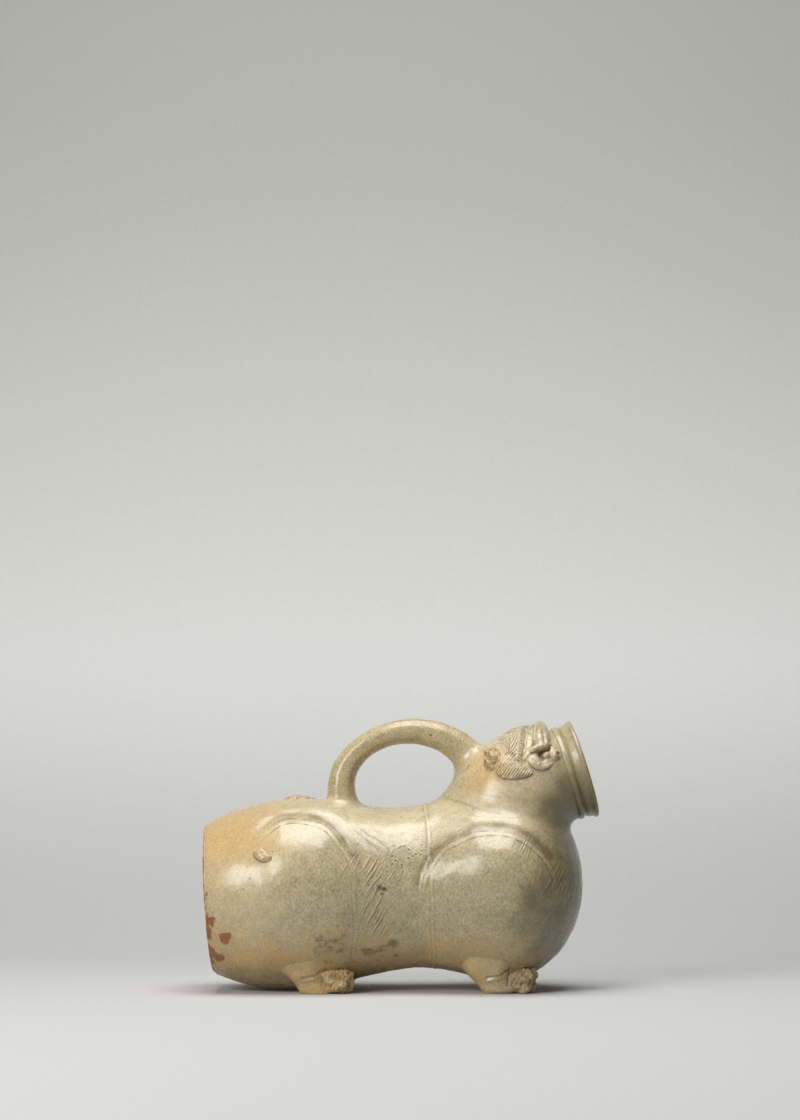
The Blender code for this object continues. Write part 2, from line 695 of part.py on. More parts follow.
def eye_and_snout(name, side, vessel, glaze):
    """Nostril next to the rim, the eye behind it, and the brow and lip that curl round the eye."""
    back = 0.5 * NOSTRIL_DIAMETER + NOSTRIL_FROM_RIM
    swing, _ = walk(neck_scale, (MOUTH_TILT, NOSTRIL_ROLL, 0.0), -back, 0.0)
    place = (swing, NOSTRIL_ROLL, -swing)
    outline = oval(NOSTRIL_DIAMETER, NOSTRIL_DIAMETER, PELLET_STEPS)
    pad(f"{name}_nostril", NECK_SKIN, place, outline, NOSTRIL_RISE, side, vessel, glaze)
    behind = 0.5 * NOSTRIL_DIAMETER + NOSTRIL_GAP + 0.5 * EYE_DIAMETER
    eye = walk(neck_scale, place, -behind, 0.0)
    place = (*eye, -eye[0])
    outline = oval(EYE_DIAMETER, EYE_DIAMETER, PELLET_STEPS)
    pad(f"{name}_eye", NECK_SKIN, place, outline, EYE_RISE, side, vessel, glaze)
    near = 0.5 * EYE_DIAMETER + SOCKET_GAP + 0.5 * BROW_WIDTH
    bend = (BROW_START, BROW_END, near, near + BROW_SWEEP)
    ribbon(f"{name}_brow", NECK_SKIN, place, bend, BROW_WIDTH, BROW_RISE, side, vessel, glaze)
    near = 0.5 * EYE_DIAMETER + SOCKET_GAP + 0.5 * CHEEK_WIDTH
    bend = (CHEEK_END, CHEEK_START, near, near + CHEEK_SWEEP)
    ribbon(f"{name}_lip", NECK_SKIN, place, bend, CHEEK_WIDTH, CHEEK_RISE, side, vessel, glaze)


def tail(vessel, glaze):
    """Strip on the back and the broken tip on the right haunch."""
    place = (HAUNCH_STATION + TAIL_ROOT_FROM_HAUNCH, 0.0, 0.0)
    outline = leaf(TAIL_ROOT_LENGTH, TAIL_ROOT_WIDTH, TAIL_ROOT_STEPS)
    pad("tail_root", BODY_SKIN, place, outline, TAIL_ROOT_RISE, 1, vessel, glaze)
    place = (HAUNCH_STATION + TAIL_TIP_FROM_HAUNCH, TAIL_TIP_ROLL, TAIL_TIP_TURN)
    outline = leaf(TAIL_TIP_LENGTH, TAIL_TIP_WIDTH, TAIL_TIP_STEPS)
    pad("tail_tip", BODY_SKIN, place, outline, TAIL_TIP_RISE, 1, vessel, glaze)


def legs(vessel, glaze, clay, body):
    """Four legs, each pair at its own place along the belly."""
    rear = (BODY_FRAME @ Vector((HAUNCH_STATION + REAR_HEEL_FROM_HAUNCH, 0.0, 0.0))).x
    front = (BODY_FRAME @ Vector((CHEST_STATION + FRONT_HEEL_FROM_CHEST, 0.0, 0.0))).x
    for end, heel, spread in (("rear", rear, REAR_LEG_SPREAD), ("front", front, FRONT_LEG_SPREAD)):
        for name, side in (("right", -1), ("left", 1)):
            leg_and_paw(f"{end}_{name}", heel, side, spread, vessel, glaze, clay, body)


def drawing_middle():
    """X of the middle of the vessel on the drawing, between the edge of the base and the lip."""
    edge = BODY_FRAME @ Vector((0.0, 0.0, body_radius(0.0) - BASE_EDGE))
    frame = mouth_frame()
    lip = max((frame @ Vector((station, 0.0, -radius))).x for station, radius in rim_outline())
    return 0.5 * (edge.x + lip)


def main():
    """Builds the vessel."""
    clear_scene()
    buff = finish("buff_glaze", *BUFF_GLAZE)
    olive = finish("olive_glaze", *OLIVE_GLAZE)
    gritty = finish("gritty_glaze", *GRITTY_GLAZE)
    bare = finish("bare_clay", *BARE_CLAY)
    vessel = empty("vessel", matrix=Matrix.Translation((-drawing_middle(), 0.0, 0.0)))
    axis = empty("body_axis", vessel, BODY_FRAME)
    mouth = empty("mouth_axis", vessel, mouth_frame())
    body = body_solid(axis, bare)
    nape = neck_solid(vessel, bare)
    base_disc(axis, bare)
    rear_barrel(axis, buff)
    chest = chest_bulb(axis, olive)
    cut(chest, throat_solid(vessel, bare))
    neck(vessel, olive, body)
    mouth_rim(mouth, olive)
    handle(vessel, buff, body, nape)
    face(vessel, buff)
    tail(vessel, buff)
    legs(vessel, buff, gritty, body)


main()
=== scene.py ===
"""Looks of the tiger-shaped stoneware vessel: luted clay, ash glaze, scored ornament and a plain studio.

Metres, +Z up, +X towards the mouth and +Y towards the tiger's left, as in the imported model. The body and
the neck are skins in formulas. What sits on them ends in a soft luted foot on those skins.
"""

import logging
import math
from abc import ABC, abstractmethod
from collections.abc import Callable
from dataclasses import dataclass, field
from enum import Enum
from functools import reduce

import bpy
import numpy as np
from bpy.types import Material, Mesh, Node, NodeSocket, NodeTree, Object
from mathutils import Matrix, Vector


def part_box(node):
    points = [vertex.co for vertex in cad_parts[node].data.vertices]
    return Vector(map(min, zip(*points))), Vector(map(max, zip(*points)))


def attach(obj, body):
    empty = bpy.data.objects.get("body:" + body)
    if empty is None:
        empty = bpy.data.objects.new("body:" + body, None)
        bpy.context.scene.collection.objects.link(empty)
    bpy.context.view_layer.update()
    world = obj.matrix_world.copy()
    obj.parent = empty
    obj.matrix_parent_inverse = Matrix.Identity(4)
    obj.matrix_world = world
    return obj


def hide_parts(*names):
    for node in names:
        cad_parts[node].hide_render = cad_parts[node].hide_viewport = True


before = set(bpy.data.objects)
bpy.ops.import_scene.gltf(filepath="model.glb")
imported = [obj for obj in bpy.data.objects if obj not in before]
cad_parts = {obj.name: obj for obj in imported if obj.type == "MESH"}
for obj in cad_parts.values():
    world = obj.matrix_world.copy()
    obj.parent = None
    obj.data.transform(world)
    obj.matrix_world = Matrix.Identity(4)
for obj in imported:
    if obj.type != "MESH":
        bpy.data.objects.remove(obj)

LOG = logging.getLogger("tiger_vessel")
MM = 0.001
BODY = "root"
SMOOTH_ANGLE = math.radians(60.0)
LUTING_SINK = 0.35 * MM
OTHER_SIDE = np.array([1.0, -1.0, 1.0])

Grid = np.ndarray
Grids = tuple[Grid, Grid]
Pair = tuple[float, float]
Triple = tuple[float, float, float]
Line = tuple[Pair, ...]


class Slot(Enum):
    """Material slots of the record."""

    BUFF = "buff_glaze"
    OLIVE = "olive_glaze"
    GRITTY = "gritty_glaze"
    CLAY = "bare_clay"


class Side(Enum):
    """The tiger's own sides. The value is the sign of Y on that side."""

    RIGHT = -1
    LEFT = 1


# Shapes in numbers


def mm(*sizes: float) -> tuple[float, ...]:
    """Sizes in millimetres as metres."""
    return tuple(size * MM for size in sizes)


def full_turn(count: int) -> Grid:
    """Angles of a full turn in even steps, without its end."""
    return np.linspace(0.0, 2.0 * np.pi, count, endpoint=False)


def quarter_turn(count: int) -> Grid:
    """Angles of a quarter turn in even steps, with its end."""
    return np.linspace(0.0, 0.5 * np.pi, count)


def as_points(x: Grid | float, y: Grid | float, z: Grid | float) -> Grid:
    """Grid of points from their coordinates."""
    return np.stack(np.broadcast_arrays(x, y, z), axis=-1)


def ease(share: Grid | float) -> Grid:
    """Runs smoothly from 0 to 1 as share does, level at both ends."""
    return 0.5 - 0.5 * np.cos(np.pi * np.clip(share, 0.0, 1.0))


def ridge(offset: Grid, width: float) -> Grid:
    """Rounded ridge of height 1 where offset is 0."""
    return np.exp(-np.square(offset / width))


def unit(vectors: Grid) -> Grid:
    """Vectors of length 1."""
    return vectors / np.maximum(np.linalg.norm(vectors, axis=-1, keepdims=True), 1e-12)


def flow(knots: list[float], values: list[float], at: Grid) -> Grid:
    """Smooth curve through values at knots.

    Args:
        knots: Rising places.
        values: Value at each knot.
        at: Places to read.

    Returns:
        The value at each place.
    """
    x = np.array(knots)
    y = np.array(values)
    slope = np.gradient(y, x)
    k = np.clip(np.searchsorted(x, at) - 1, 0, len(x) - 2)
    step = x[k + 1] - x[k]
    t = np.clip((at - x[k]) / step, 0.0, 1.0)
    blend = t * t * (3.0 - 2.0 * t)
    lean = (t**3 - 2.0 * t**2 + t) * slope[k] + (t**3 - t**2) * slope[k + 1]
    return y[k] * (1.0 - blend) + y[k + 1] * blend + lean * step


def walked(lines: Grid) -> Grid:
    """Length walked along each column of a grid of points."""
    steps = np.linalg.norm(np.diff(lines, axis=0), axis=-1)
    return np.vstack([np.zeros((1, lines.shape[1])), np.cumsum(steps, axis=0)])


def resampled(lines: Grid, lengths: Grid, at: Grid) -> Grid:
    """Points on each column of a grid at given lengths along it.

    Args:
        lines: Grid of points, rows along the lines.
        lengths: Length walked at each point.
        at: Lengths to read, one column for each line.

    Returns:
        Grid of points with the rows of at.
    """
    out = np.empty((*at.shape, 3))
    for c in range(lines.shape[1]):
        for axis in range(3):
            out[:, c, axis] = np.interp(at[:, c], lengths[:, c], lines[:, c, axis])
    return out


@dataclass(frozen=True)
class Unevenness:
    """Unevenness of a hand-made surface: a seeded sum of waves through space."""

    seed: int
    size: float
    height: float
    count: int = 18

    def at(self, points: Grid) -> Grid:
        """Height of the unevenness.

        Args:
            points: Places in space.

        Returns:
            The height at each place.
        """
        rng = np.random.default_rng(self.seed)
        directions = unit(rng.normal(size=(self.count, 3)))
        waves = 2.0 * np.pi / (self.size * rng.uniform(0.7, 1.6, self.count))
        phases = rng.uniform(0.0, 2.0 * np.pi, self.count)
        total = np.zeros(points.shape[:-1])
        for direction, wave, phase in zip(directions, waves, phases):
            total += np.sin(points @ (direction * wave) + phase)
        return self.height * total * math.sqrt(2.0 / self.count)


HAND = Unevenness(seed=11, size=46.0 * MM, height=0.26 * MM)
RIPPLE = Unevenness(seed=23, size=13.0 * MM, height=0.07 * MM)
LUMP = Unevenness(seed=9, size=7.5 * MM, height=0.6 * MM)
CRUMBLE = Unevenness(seed=5, size=3.4 * MM, height=0.3 * MM)
GRAIN = Unevenness(seed=31, size=1.3 * MM, height=0.12 * MM)
WANDER = Unevenness(seed=41, size=24.0 * MM, height=0.45 * MM)
BREAKS = Unevenness(seed=43, size=13.0 * MM, height=0.45)


def uneven(points: Grid) -> Grid:
    """Unevenness that every thrown and luted surface shares."""
    return HAND.at(points) + RIPPLE.at(points)


def pressed(points: Grid) -> Grid:
    """Unevenness of the small pieces, which were pressed on by hand."""
    return uneven(points) + 0.45 * CRUMBLE.at(points) + 0.3 * LUMP.at(points)


class FlankMark(ABC):
    """A mark on the flank, placed as it is seen from the side."""

    @abstractmethod
    def at(self, x: Grid, z: Grid) -> Grid:
        """Strength of the mark at places."""

    def on(self, points: Grid) -> Grid:
        """Strength of the mark at points."""
        return self.at(points[..., 0], points[..., 2])


@dataclass(frozen=True)
class Patch(FlankMark):
    """Soft oval patch. Its place and its half sizes are in millimetres."""

    x: float
    z: float
    half_x: float
    half_z: float
    strength: float = 1.0

    def at(self, x: Grid, z: Grid) -> Grid:
        """Strength of the patch at places."""
        away = np.hypot((x - self.x * MM) / (self.half_x * MM), (z - self.z * MM) / (self.half_z * MM))
        return self.strength * np.clip(1.6 - 1.2 * away, 0.0, 1.0)


@dataclass(frozen=True)
class Stroke(FlankMark):
    """Line drawn with a tool from place to place."""

    line: Line
    width: float
    strength: float = 1.0

    def at(self, x: Grid, z: Grid) -> Grid:
        """Strength of the line.

        Args:
            x: Places along the vessel.
            z: Their heights.

        Returns:
            The strength at each place.
        """
        total = np.zeros(x.shape)
        for (x0, z0), (x1, z1) in zip(self.line, self.line[1:]):
            run_x, run_z = x1 - x0, z1 - z0
            share = np.clip(((x - x0) * run_x + (z - z0) * run_z) / (run_x**2 + run_z**2), 0.0, 1.0)
            away = np.hypot(x - x0 - share * run_x, z - z0 - share * run_z)
            total = np.maximum(total, ridge(away, self.width))
        return self.strength * total


class MarkSet(FlankMark):
    """Several marks, of which the strongest shows."""

    def __init__(self, *marks: FlankMark) -> None:
        """Keeps the marks."""
        self.marks = marks

    def at(self, x: Grid, z: Grid) -> Grid:
        """Strength of the strongest mark at places."""
        return np.max([mark.at(x, z) for mark in self.marks], axis=0)


# Crease where the neck was smoothed onto the back, on both sides
CREASE_DEPTH = 0.4 * MM
CREASE_POOL = 0.55
LUTING_CREASE = Stroke((mm(26.0, 118.0), mm(36.6, 114.4), mm(48.0, 110.0), mm(58.0, 108.2)), 0.8 * MM)


def hatched(along: Grid, across: Grid, cell: float, spacing: float, seed: int) -> Grid:
    """Scored lines from 0 to 1 in small patches, each with a direction of its own.

    Args:
        along: Lengths along the scored pad.
        across: Lengths across it.
        cell: Rough size of a patch.
        spacing: Distance between lines.
        seed: Seed of the patches.

    Returns:
        Depth of the lines, 1 at the deepest.
    """
    rng = np.random.default_rng(seed)
    reach = np.array([np.abs(along).max(), np.abs(across).max()])
    count = max(3, int(4.0 * reach[0] * reach[1] / cell**2))
    best = np.full(along.shape, np.inf)
    lines = np.zeros(along.shape)
    for centre in rng.uniform(-1.0, 1.0, (count, 2)) * reach:
        lean = rng.uniform(0.0, np.pi)
        away = np.hypot(along - centre[0], across - centre[1])
        phase = (along - centre[0]) * math.cos(lean) + (across - centre[1]) * math.sin(lean)
        own = np.clip(np.sin(2.0 * np.pi * phase / spacing), 0.0, 1.0) ** 2
        lines = np.where(away < best, own, lines)
        best = np.minimum(best, away)
    return lines


# Skins that carry other pieces


class Carrier(ABC):
    """A skin that other pieces sit on."""

    @abstractmethod
    def gap(self, points: Grid) -> Grid:
        """Distance of points over the skin, below zero inside."""

    def normal(self, points: Grid) -> Grid:
        """Outward direction of the skin near points."""
        steps = [self.gap(points + step) - self.gap(points - step) for step in np.eye(3) * 0.05 * MM]
        return unit(np.stack(steps, axis=-1))

    def settled(self, points: Grid) -> Grid:
        """Points moved onto the uneven skin.

        Args:
            points: Places in space.

        Returns:
            The moved points.
        """
        for _ in range(4):
            points = points - self.normal(points) * self.gap(points)[..., None]
        return points + self.normal(points) * uneven(points)[..., None]


class Applied(Carrier):
    """A skin with two angles or lengths of its own, that pads and ribbons are laid on."""

    @abstractmethod
    def point(self, start: Grid, roll: Grid, lift: Grid) -> Grid:
        """Points over the skin."""

    @abstractmethod
    def scale(self, start: Grid, roll: Grid) -> Grids:
        """Metres per unit of start and of roll."""

    def walk(self, place: Triple, along: Grid, across: Grid) -> Grids:
        """Moves over the skin from a place.

        Args:
            place: Start, roll and turn of the place.
            along: Metres along the turned length.
            across: Metres across it.

        Returns:
            Start and roll of the new places.
        """
        start, roll, turn = place
        ahead = along * math.cos(turn) - across * math.sin(turn)
        aside = along * math.sin(turn) + across * math.cos(turn)
        _, per_roll = self.scale(start, roll)
        new_roll = roll - aside / per_roll
        per_start, _ = self.scale(start, new_roll)
        return start + ahead / per_start, new_roll


@dataclass
class Joined(Carrier):
    """Several skins taken as one."""

    parts: list[Carrier]

    def gap(self, points: Grid) -> Grid:
        """Distance over the nearest of the skins."""
        return np.min([part.gap(points) for part in self.parts], axis=0)


def luted(
    lines: Grid, carrier: Carrier, reach: Grid, rows: tuple[int, int], sink: float = LUTING_SINK
) -> Grid:
    """Ends the lines of a skin in a soft foot on the skin that carries it.

    Args:
        lines: Grid of points whose columns run from outside into the carrier.
        carrier: The skin that is met.
        reach: Length of the foot for each column, up the piece and out over the carrier.
        rows: Rows above the foot, and rows of the foot.
        sink: How deep the last row lies in the carrier.

    Returns:
        Grid of points from the first row to the sunk edge.
    """
    gaps = carrier.gap(lines)
    lengths = walked(lines)
    crossing = (gaps[:-1] > 0.0) & (gaps[1:] <= 0.0)
    first = np.where(crossing.any(axis=0), crossing.argmax(axis=0), np.abs(gaps).argmin(axis=0))
    first = np.minimum(first, len(lines) - 2)
    column = np.arange(lines.shape[1])
    above = gaps[first, column]
    below = gaps[first + 1, column]
    share = np.clip(above / np.where(above == below, 1.0, above - below), 0.0, 1.0)
    met = lengths[first, column] * (1.0 - share) + lengths[first + 1, column] * share
    reach = np.minimum(reach, 0.9 * met)
    contact = resampled(lines, lengths, met[None, :])[0]
    outward = carrier.normal(contact)
    away = unit(np.cross(np.roll(contact, -1, axis=0) - np.roll(contact, 1, axis=0), outward))
    away *= np.sign(np.sum(away * (contact - contact.mean(axis=0)), axis=-1, keepdims=True))
    above_rows, foot_rows = rows
    upper = resampled(lines, lengths, np.linspace(0.0, 1.0, above_rows)[:, None] * (met - reach)[None, :])
    turns = np.linspace(0.0, 1.0, foot_rows + 1)[1:, None]
    down = resampled(lines, lengths, met - reach * np.square(1.0 - turns))
    out = contact[None] + (reach * np.square(turns))[..., None] * away[None]
    foot = down + carrier.settled(out) - contact[None]
    foot[-1] -= carrier.normal(foot[-1]) * sink
    return np.concatenate([upper, foot])


# Meshes


@dataclass
class Sheet:
    """Grid of points whose rows close on themselves, with values for the materials at each point."""

    points: Grid
    values: dict[str, Grid] = field(default_factory=dict)
    looped: bool = False

    def mirrored(self) -> "Sheet":
        """The same sheet on the other side of the vessel."""
        return Sheet(self.points * OTHER_SIDE, self.values, self.looped)

    def faces(self) -> list[list[int]]:
        """Faces of the closed sheet, with a fan at each end where it isn't looped.

        Returns:
            Places of each face's points.
        """
        rows, columns, _ = self.points.shape
        index = np.arange(rows * columns).reshape(rows, columns)
        nexts = np.roll(index, -1, axis=1)
        below = np.roll(index, -1, axis=0)
        below_nexts = np.roll(nexts, -1, axis=0)
        last = rows if self.looped else rows - 1
        quads = np.stack([index, nexts, below_nexts, below], axis=-1)[:last].reshape(-1, 4).tolist()
        if not self.looped:
            first_pole = rows * columns
            top = np.stack([nexts[0], index[0], np.full(columns, first_pole)], axis=-1)
            bottom = np.stack([index[-1], nexts[-1], np.full(columns, first_pole + 1)], axis=-1)
            quads += top.tolist() + bottom.tolist()
        return quads

    def vertices(self) -> Grid:
        """All points, with the two middle points of the fans at the end.

        Returns:
            The points.
        """
        flat = self.points.reshape(-1, 3)
        if self.looped:
            return flat
        return np.vstack([flat, self.points[0].mean(axis=0), self.points[-1].mean(axis=0)])

    def volume(self) -> float:
        """Six times the volume inside the sheet, below zero where its faces point inwards.

        Returns:
            The measure.
        """
        points = self.vertices()
        total = 0.0
        for size in (3, 4):
            faces = np.array([face for face in self.faces() if len(face) == size])
            for k in range(1, size - 1):
                if len(faces):
                    a, b, c = points[faces[:, 0]], points[faces[:, k]], points[faces[:, k + 1]]
                    total += float(np.sum(a * np.cross(b, c)))
        return total

    def mesh(self, name: str) -> Mesh:
        """Mesh of the sheet with its faces outwards and its values as attributes.

        Args:
            name: Name of the mesh.

        Returns:
            The mesh.
        """
        faces = self.faces()
        if self.volume() < 0.0:
            faces = [face[::-1] for face in faces]
        points = self.vertices()
        mesh = bpy.data.meshes.new(name)
        mesh.from_pydata(points.tolist(), [], faces)
        for key, grid in self.values.items():
            flat = np.zeros(len(points), np.float32)
            flat[: grid.size] = grid.ravel()
            mesh.attributes.new(key, "FLOAT", "POINT").data.foreach_set("value", flat)
        return mesh


def linked(name: str, data: object) -> Object:
    """New object in the scene.

    Args:
        name: The object's name.
        data: Its mesh, lamp or camera.

    Returns:
        The object.
    """
    made = bpy.data.objects.new(name, data)
    bpy.context.scene.collection.objects.link(made)
    return made


def baked(source: Object, name: str) -> Mesh:
    """Turns an object with modifiers into a plain mesh.

    Args:
        source: The object, which goes.
        name: Name of the mesh.

    Returns:
        The mesh.
    """
    graph = bpy.context.evaluated_depsgraph_get()
    mesh = bpy.data.meshes.new_from_object(source.evaluated_get(graph))
    bpy.data.objects.remove(source)
    mesh.name = name
    return mesh


@dataclass(frozen=True)
class Finish:
    """A finish of the vessel and the record's slot for it."""

    material: Material
    slot: Slot


def settle(mesh: Mesh, name: str, finish: Finish, *nodes: str) -> Object:
    """Makes a finished piece of a mesh and hands it to the frame.

    Args:
        mesh: The piece's mesh, in place.
        name: The piece's name.
        finish: Its finish.
        nodes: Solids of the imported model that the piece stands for.

    Returns:
        The piece.
    """
    mesh.materials.clear()
    mesh.materials.append(finish.material)
    mesh.shade_smooth()
    mesh.set_sharp_from_angle(angle=SMOOTH_ANGLE)
    piece = linked(name, mesh)
    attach(piece, BODY)
    if nodes:
        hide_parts(*nodes)
    mesh.calc_loop_triangles()
    LOG.info("%s: %d triangles", name, len(mesh.loop_triangles))
    return piece


# Finishes


class Value:
    """A socket that nodes are wired from, with arithmetic that adds nodes to its tree."""

    def __init__(self, socket: NodeSocket) -> None:
        """Keeps the socket."""
        self.socket = socket
        self.wiring = Wiring(socket.id_data)

    def __mul__(self, other: object) -> "Value":
        """Product."""
        return self.wiring.sum("MULTIPLY", self, other)

    def __add__(self, other: object) -> "Value":
        """Sum."""
        return self.wiring.sum("ADD", self, other)

    def __sub__(self, other: object) -> "Value":
        """Difference."""
        return self.wiring.sum("SUBTRACT", self, other)

    def __gt__(self, other: object) -> "Value":
        """1 where it is larger, or else 0."""
        return self.wiring.sum("GREATER_THAN", self, other)

    def __abs__(self) -> "Value":
        """The value without its sign."""
        return self.wiring.sum("ABSOLUTE", self)

    def spread(self, low: float, high: float, to_low: float = 0.0, to_high: float = 1.0) -> "Value":
        """Maps a range of the value smoothly onto another.

        Args:
            low: Where the range starts.
            high: Where it ends.
            to_low: What its start becomes.
            to_high: What its end becomes.

        Returns:
            The mapped value.
        """
        feeds = dict(enumerate((self, low, high, to_low, to_high)))
        node = self.wiring.add("ShaderNodeMapRange", feeds, interpolation_type="SMOOTHSTEP")
        return Value(node.outputs[0])

    def line(self, place: float, width: float) -> "Value":
        """Line of height 1 where the value is at a place."""
        return abs(self - place).spread(0.2 * width, width, 1.0, 0.0)


class Wiring:
    """Adds and joins nodes in one tree. An input takes a value, a socket or a constant."""

    def __init__(self, tree: NodeTree) -> None:
        """Keeps the tree that nodes are added to."""
        self.tree = tree

    def feed(self, node: Node, feeds: dict[str | int, object]) -> None:
        """Joins inputs of a node, or writes constants on them.

        Args:
            node: The node.
            feeds: What each input takes, by its name or place.
        """
        for key, given in feeds.items():
            source = given.socket if isinstance(given, Value) else given
            if isinstance(source, NodeSocket):
                self.tree.links.new(source, node.inputs[key])
            else:
                node.inputs[key].default_value = source

    def add(self, kind: str, feeds: dict[str | int, object] | None = None, **settings: object) -> Node:
        """Adds a node.

        Args:
            kind: Type of the node.
            feeds: What each input takes, by its name or place.
            settings: The node's settings.

        Returns:
            The node.
        """
        node = self.tree.nodes.new(kind)
        for key, value in settings.items():
            setattr(node, key, value)
        self.feed(node, feeds or {})
        return node

    def group(self, tree: NodeTree, into: dict[str, object]) -> dict[str, Value]:
        """Adds a node group.

        Args:
            tree: The group.
            into: What its inputs take, by name, among other things.

        Returns:
            Its outputs by name.
        """
        node = self.add("ShaderNodeGroup", node_tree=tree)
        self.feed(node, {socket.name: into[socket.name] for socket in node.inputs})
        return {socket.name: Value(socket) for socket in node.outputs}

    def sum(self, operation: str, *values: object) -> Value:
        """One step of arithmetic."""
        return Value(self.add("ShaderNodeMath", dict(enumerate(values)), operation=operation).outputs[0])

    def highest(self, *values: object) -> Value:
        """Largest of several values."""
        return reduce(lambda first, second: self.sum("MAXIMUM", first, second), values)

    def vector(self, operation: str, *values: object) -> NodeSocket:
        """One step of arithmetic with vectors."""
        return self.add("ShaderNodeVectorMath", dict(enumerate(values)), operation=operation).outputs[0]

    def axes(self, where: object) -> tuple[Value, ...]:
        """X, Y and Z of a position."""
        return tuple(Value(socket) for socket in self.add("ShaderNodeSeparateXYZ", {0: where}).outputs)

    def noise(self, where: object, size: float, detail: float = 3.0, rough: float = 0.55) -> Value:
        """Cloudy noise with features of a size in metres."""
        feeds = {"Vector": where, "Scale": 1.0 / size, "Detail": detail, "Roughness": rough}
        return Value(self.add("ShaderNodeTexNoise", feeds).outputs["Fac"])

    def bent(self, where: object, size: float, reach: float) -> NodeSocket:
        """Position pushed about by a cloudy noise."""
        push = self.add("ShaderNodeTexNoise", {"Vector": where, "Scale": 1.0 / size, "Detail": 2.0})
        return self.vector("MULTIPLY_ADD", push.outputs["Color"], (reach, reach, reach), where)

    def dots(self, where: object, size: float, space: str = "3D") -> tuple[Value, Value]:
        """Scattered dots.

        Args:
            where: The position.
            size: Size of a cell with one dot.
            space: Whether the dots lie in space or in a plane.

        Returns:
            Distance to the nearest dot in cells, and its own random value.
        """
        feeds = {"Vector": where, "Scale": 1.0 / size}
        node = self.add("ShaderNodeTexVoronoi", feeds, voronoi_dimensions=space)
        part = self.add("ShaderNodeSeparateColor", {0: node.outputs["Color"]})
        return Value(node.outputs["Distance"]), Value(part.outputs[0])

    def dashes(self, flat: object, lean: float, cell: Pair = mm(24.0, 2.0)) -> Value:
        """Short tapering strokes of one direction, scattered over a flat position.

        Args:
            flat: The position.
            lean: Direction of the strokes.
            cell: Length and width of a stroke's cell.

        Returns:
            Height of the strokes, 1 at the most.
        """
        feeds = {"Vector": flat, "Rotation": (0.0, 0.0, lean), "Scale": (*cell, 1.0)}
        turned = self.add("ShaderNodeMapping", feeds, vector_type="TEXTURE")
        distance, chance = self.dots(turned.outputs[0], 1.0, "2D")
        return (chance > 0.12) * distance.spread(0.12, 0.34, 1.0, 0.0)

    def blend(self, share: object, first: object, second: object) -> NodeSocket:
        """Mixes two colours."""
        return self.add("ShaderNodeMix", {"Factor": share, 6: first, 7: second}, data_type="RGBA").outputs[2]

    def tint(self, colour: object, factor: object) -> NodeSocket:
        """Multiplies a colour by a number."""
        return self.add("ShaderNodeVectorMath", {0: colour, "Scale": factor}, operation="SCALE").outputs[0]


def new_group(
    name: str, takes: dict[str, str], gives: dict[str, str]
) -> tuple[Wiring, dict[str, Value], Node]:
    """Starts a shader node group.

    Args:
        name: The group's name.
        takes: Socket type of each input.
        gives: Socket type of each output.

    Returns:
        Wiring of the group, its inputs by name, and the node that its results go to.
    """
    tree = bpy.data.node_groups.new(name, "ShaderNodeTree")
    for key, kind in takes.items():
        tree.interface.new_socket(key, in_out="INPUT", socket_type=kind)
    for key, kind in gives.items():
        tree.interface.new_socket(key, in_out="OUTPUT", socket_type=kind)
    wiring = Wiring(tree)
    start = wiring.add("NodeGroupInput")
    end = wiring.add("NodeGroupOutput")
    return wiring, {key: Value(start.outputs[key]) for key in takes}, end


FLOAT = "NodeSocketFloat"
COLOUR = "NodeSocketColor"
VECTOR = "NodeSocketVector"
WHOLE = "NodeSocketInt"
MATERIAL = "NodeSocketMaterial"
MARKS = ("groove", "bare", "stain", "seep", "arch", "seam", "drawn", "comb", "slash", "dots")
COLOURS = ("buff", "olive", "ochre", "pool", "clay", "iron", "moss")


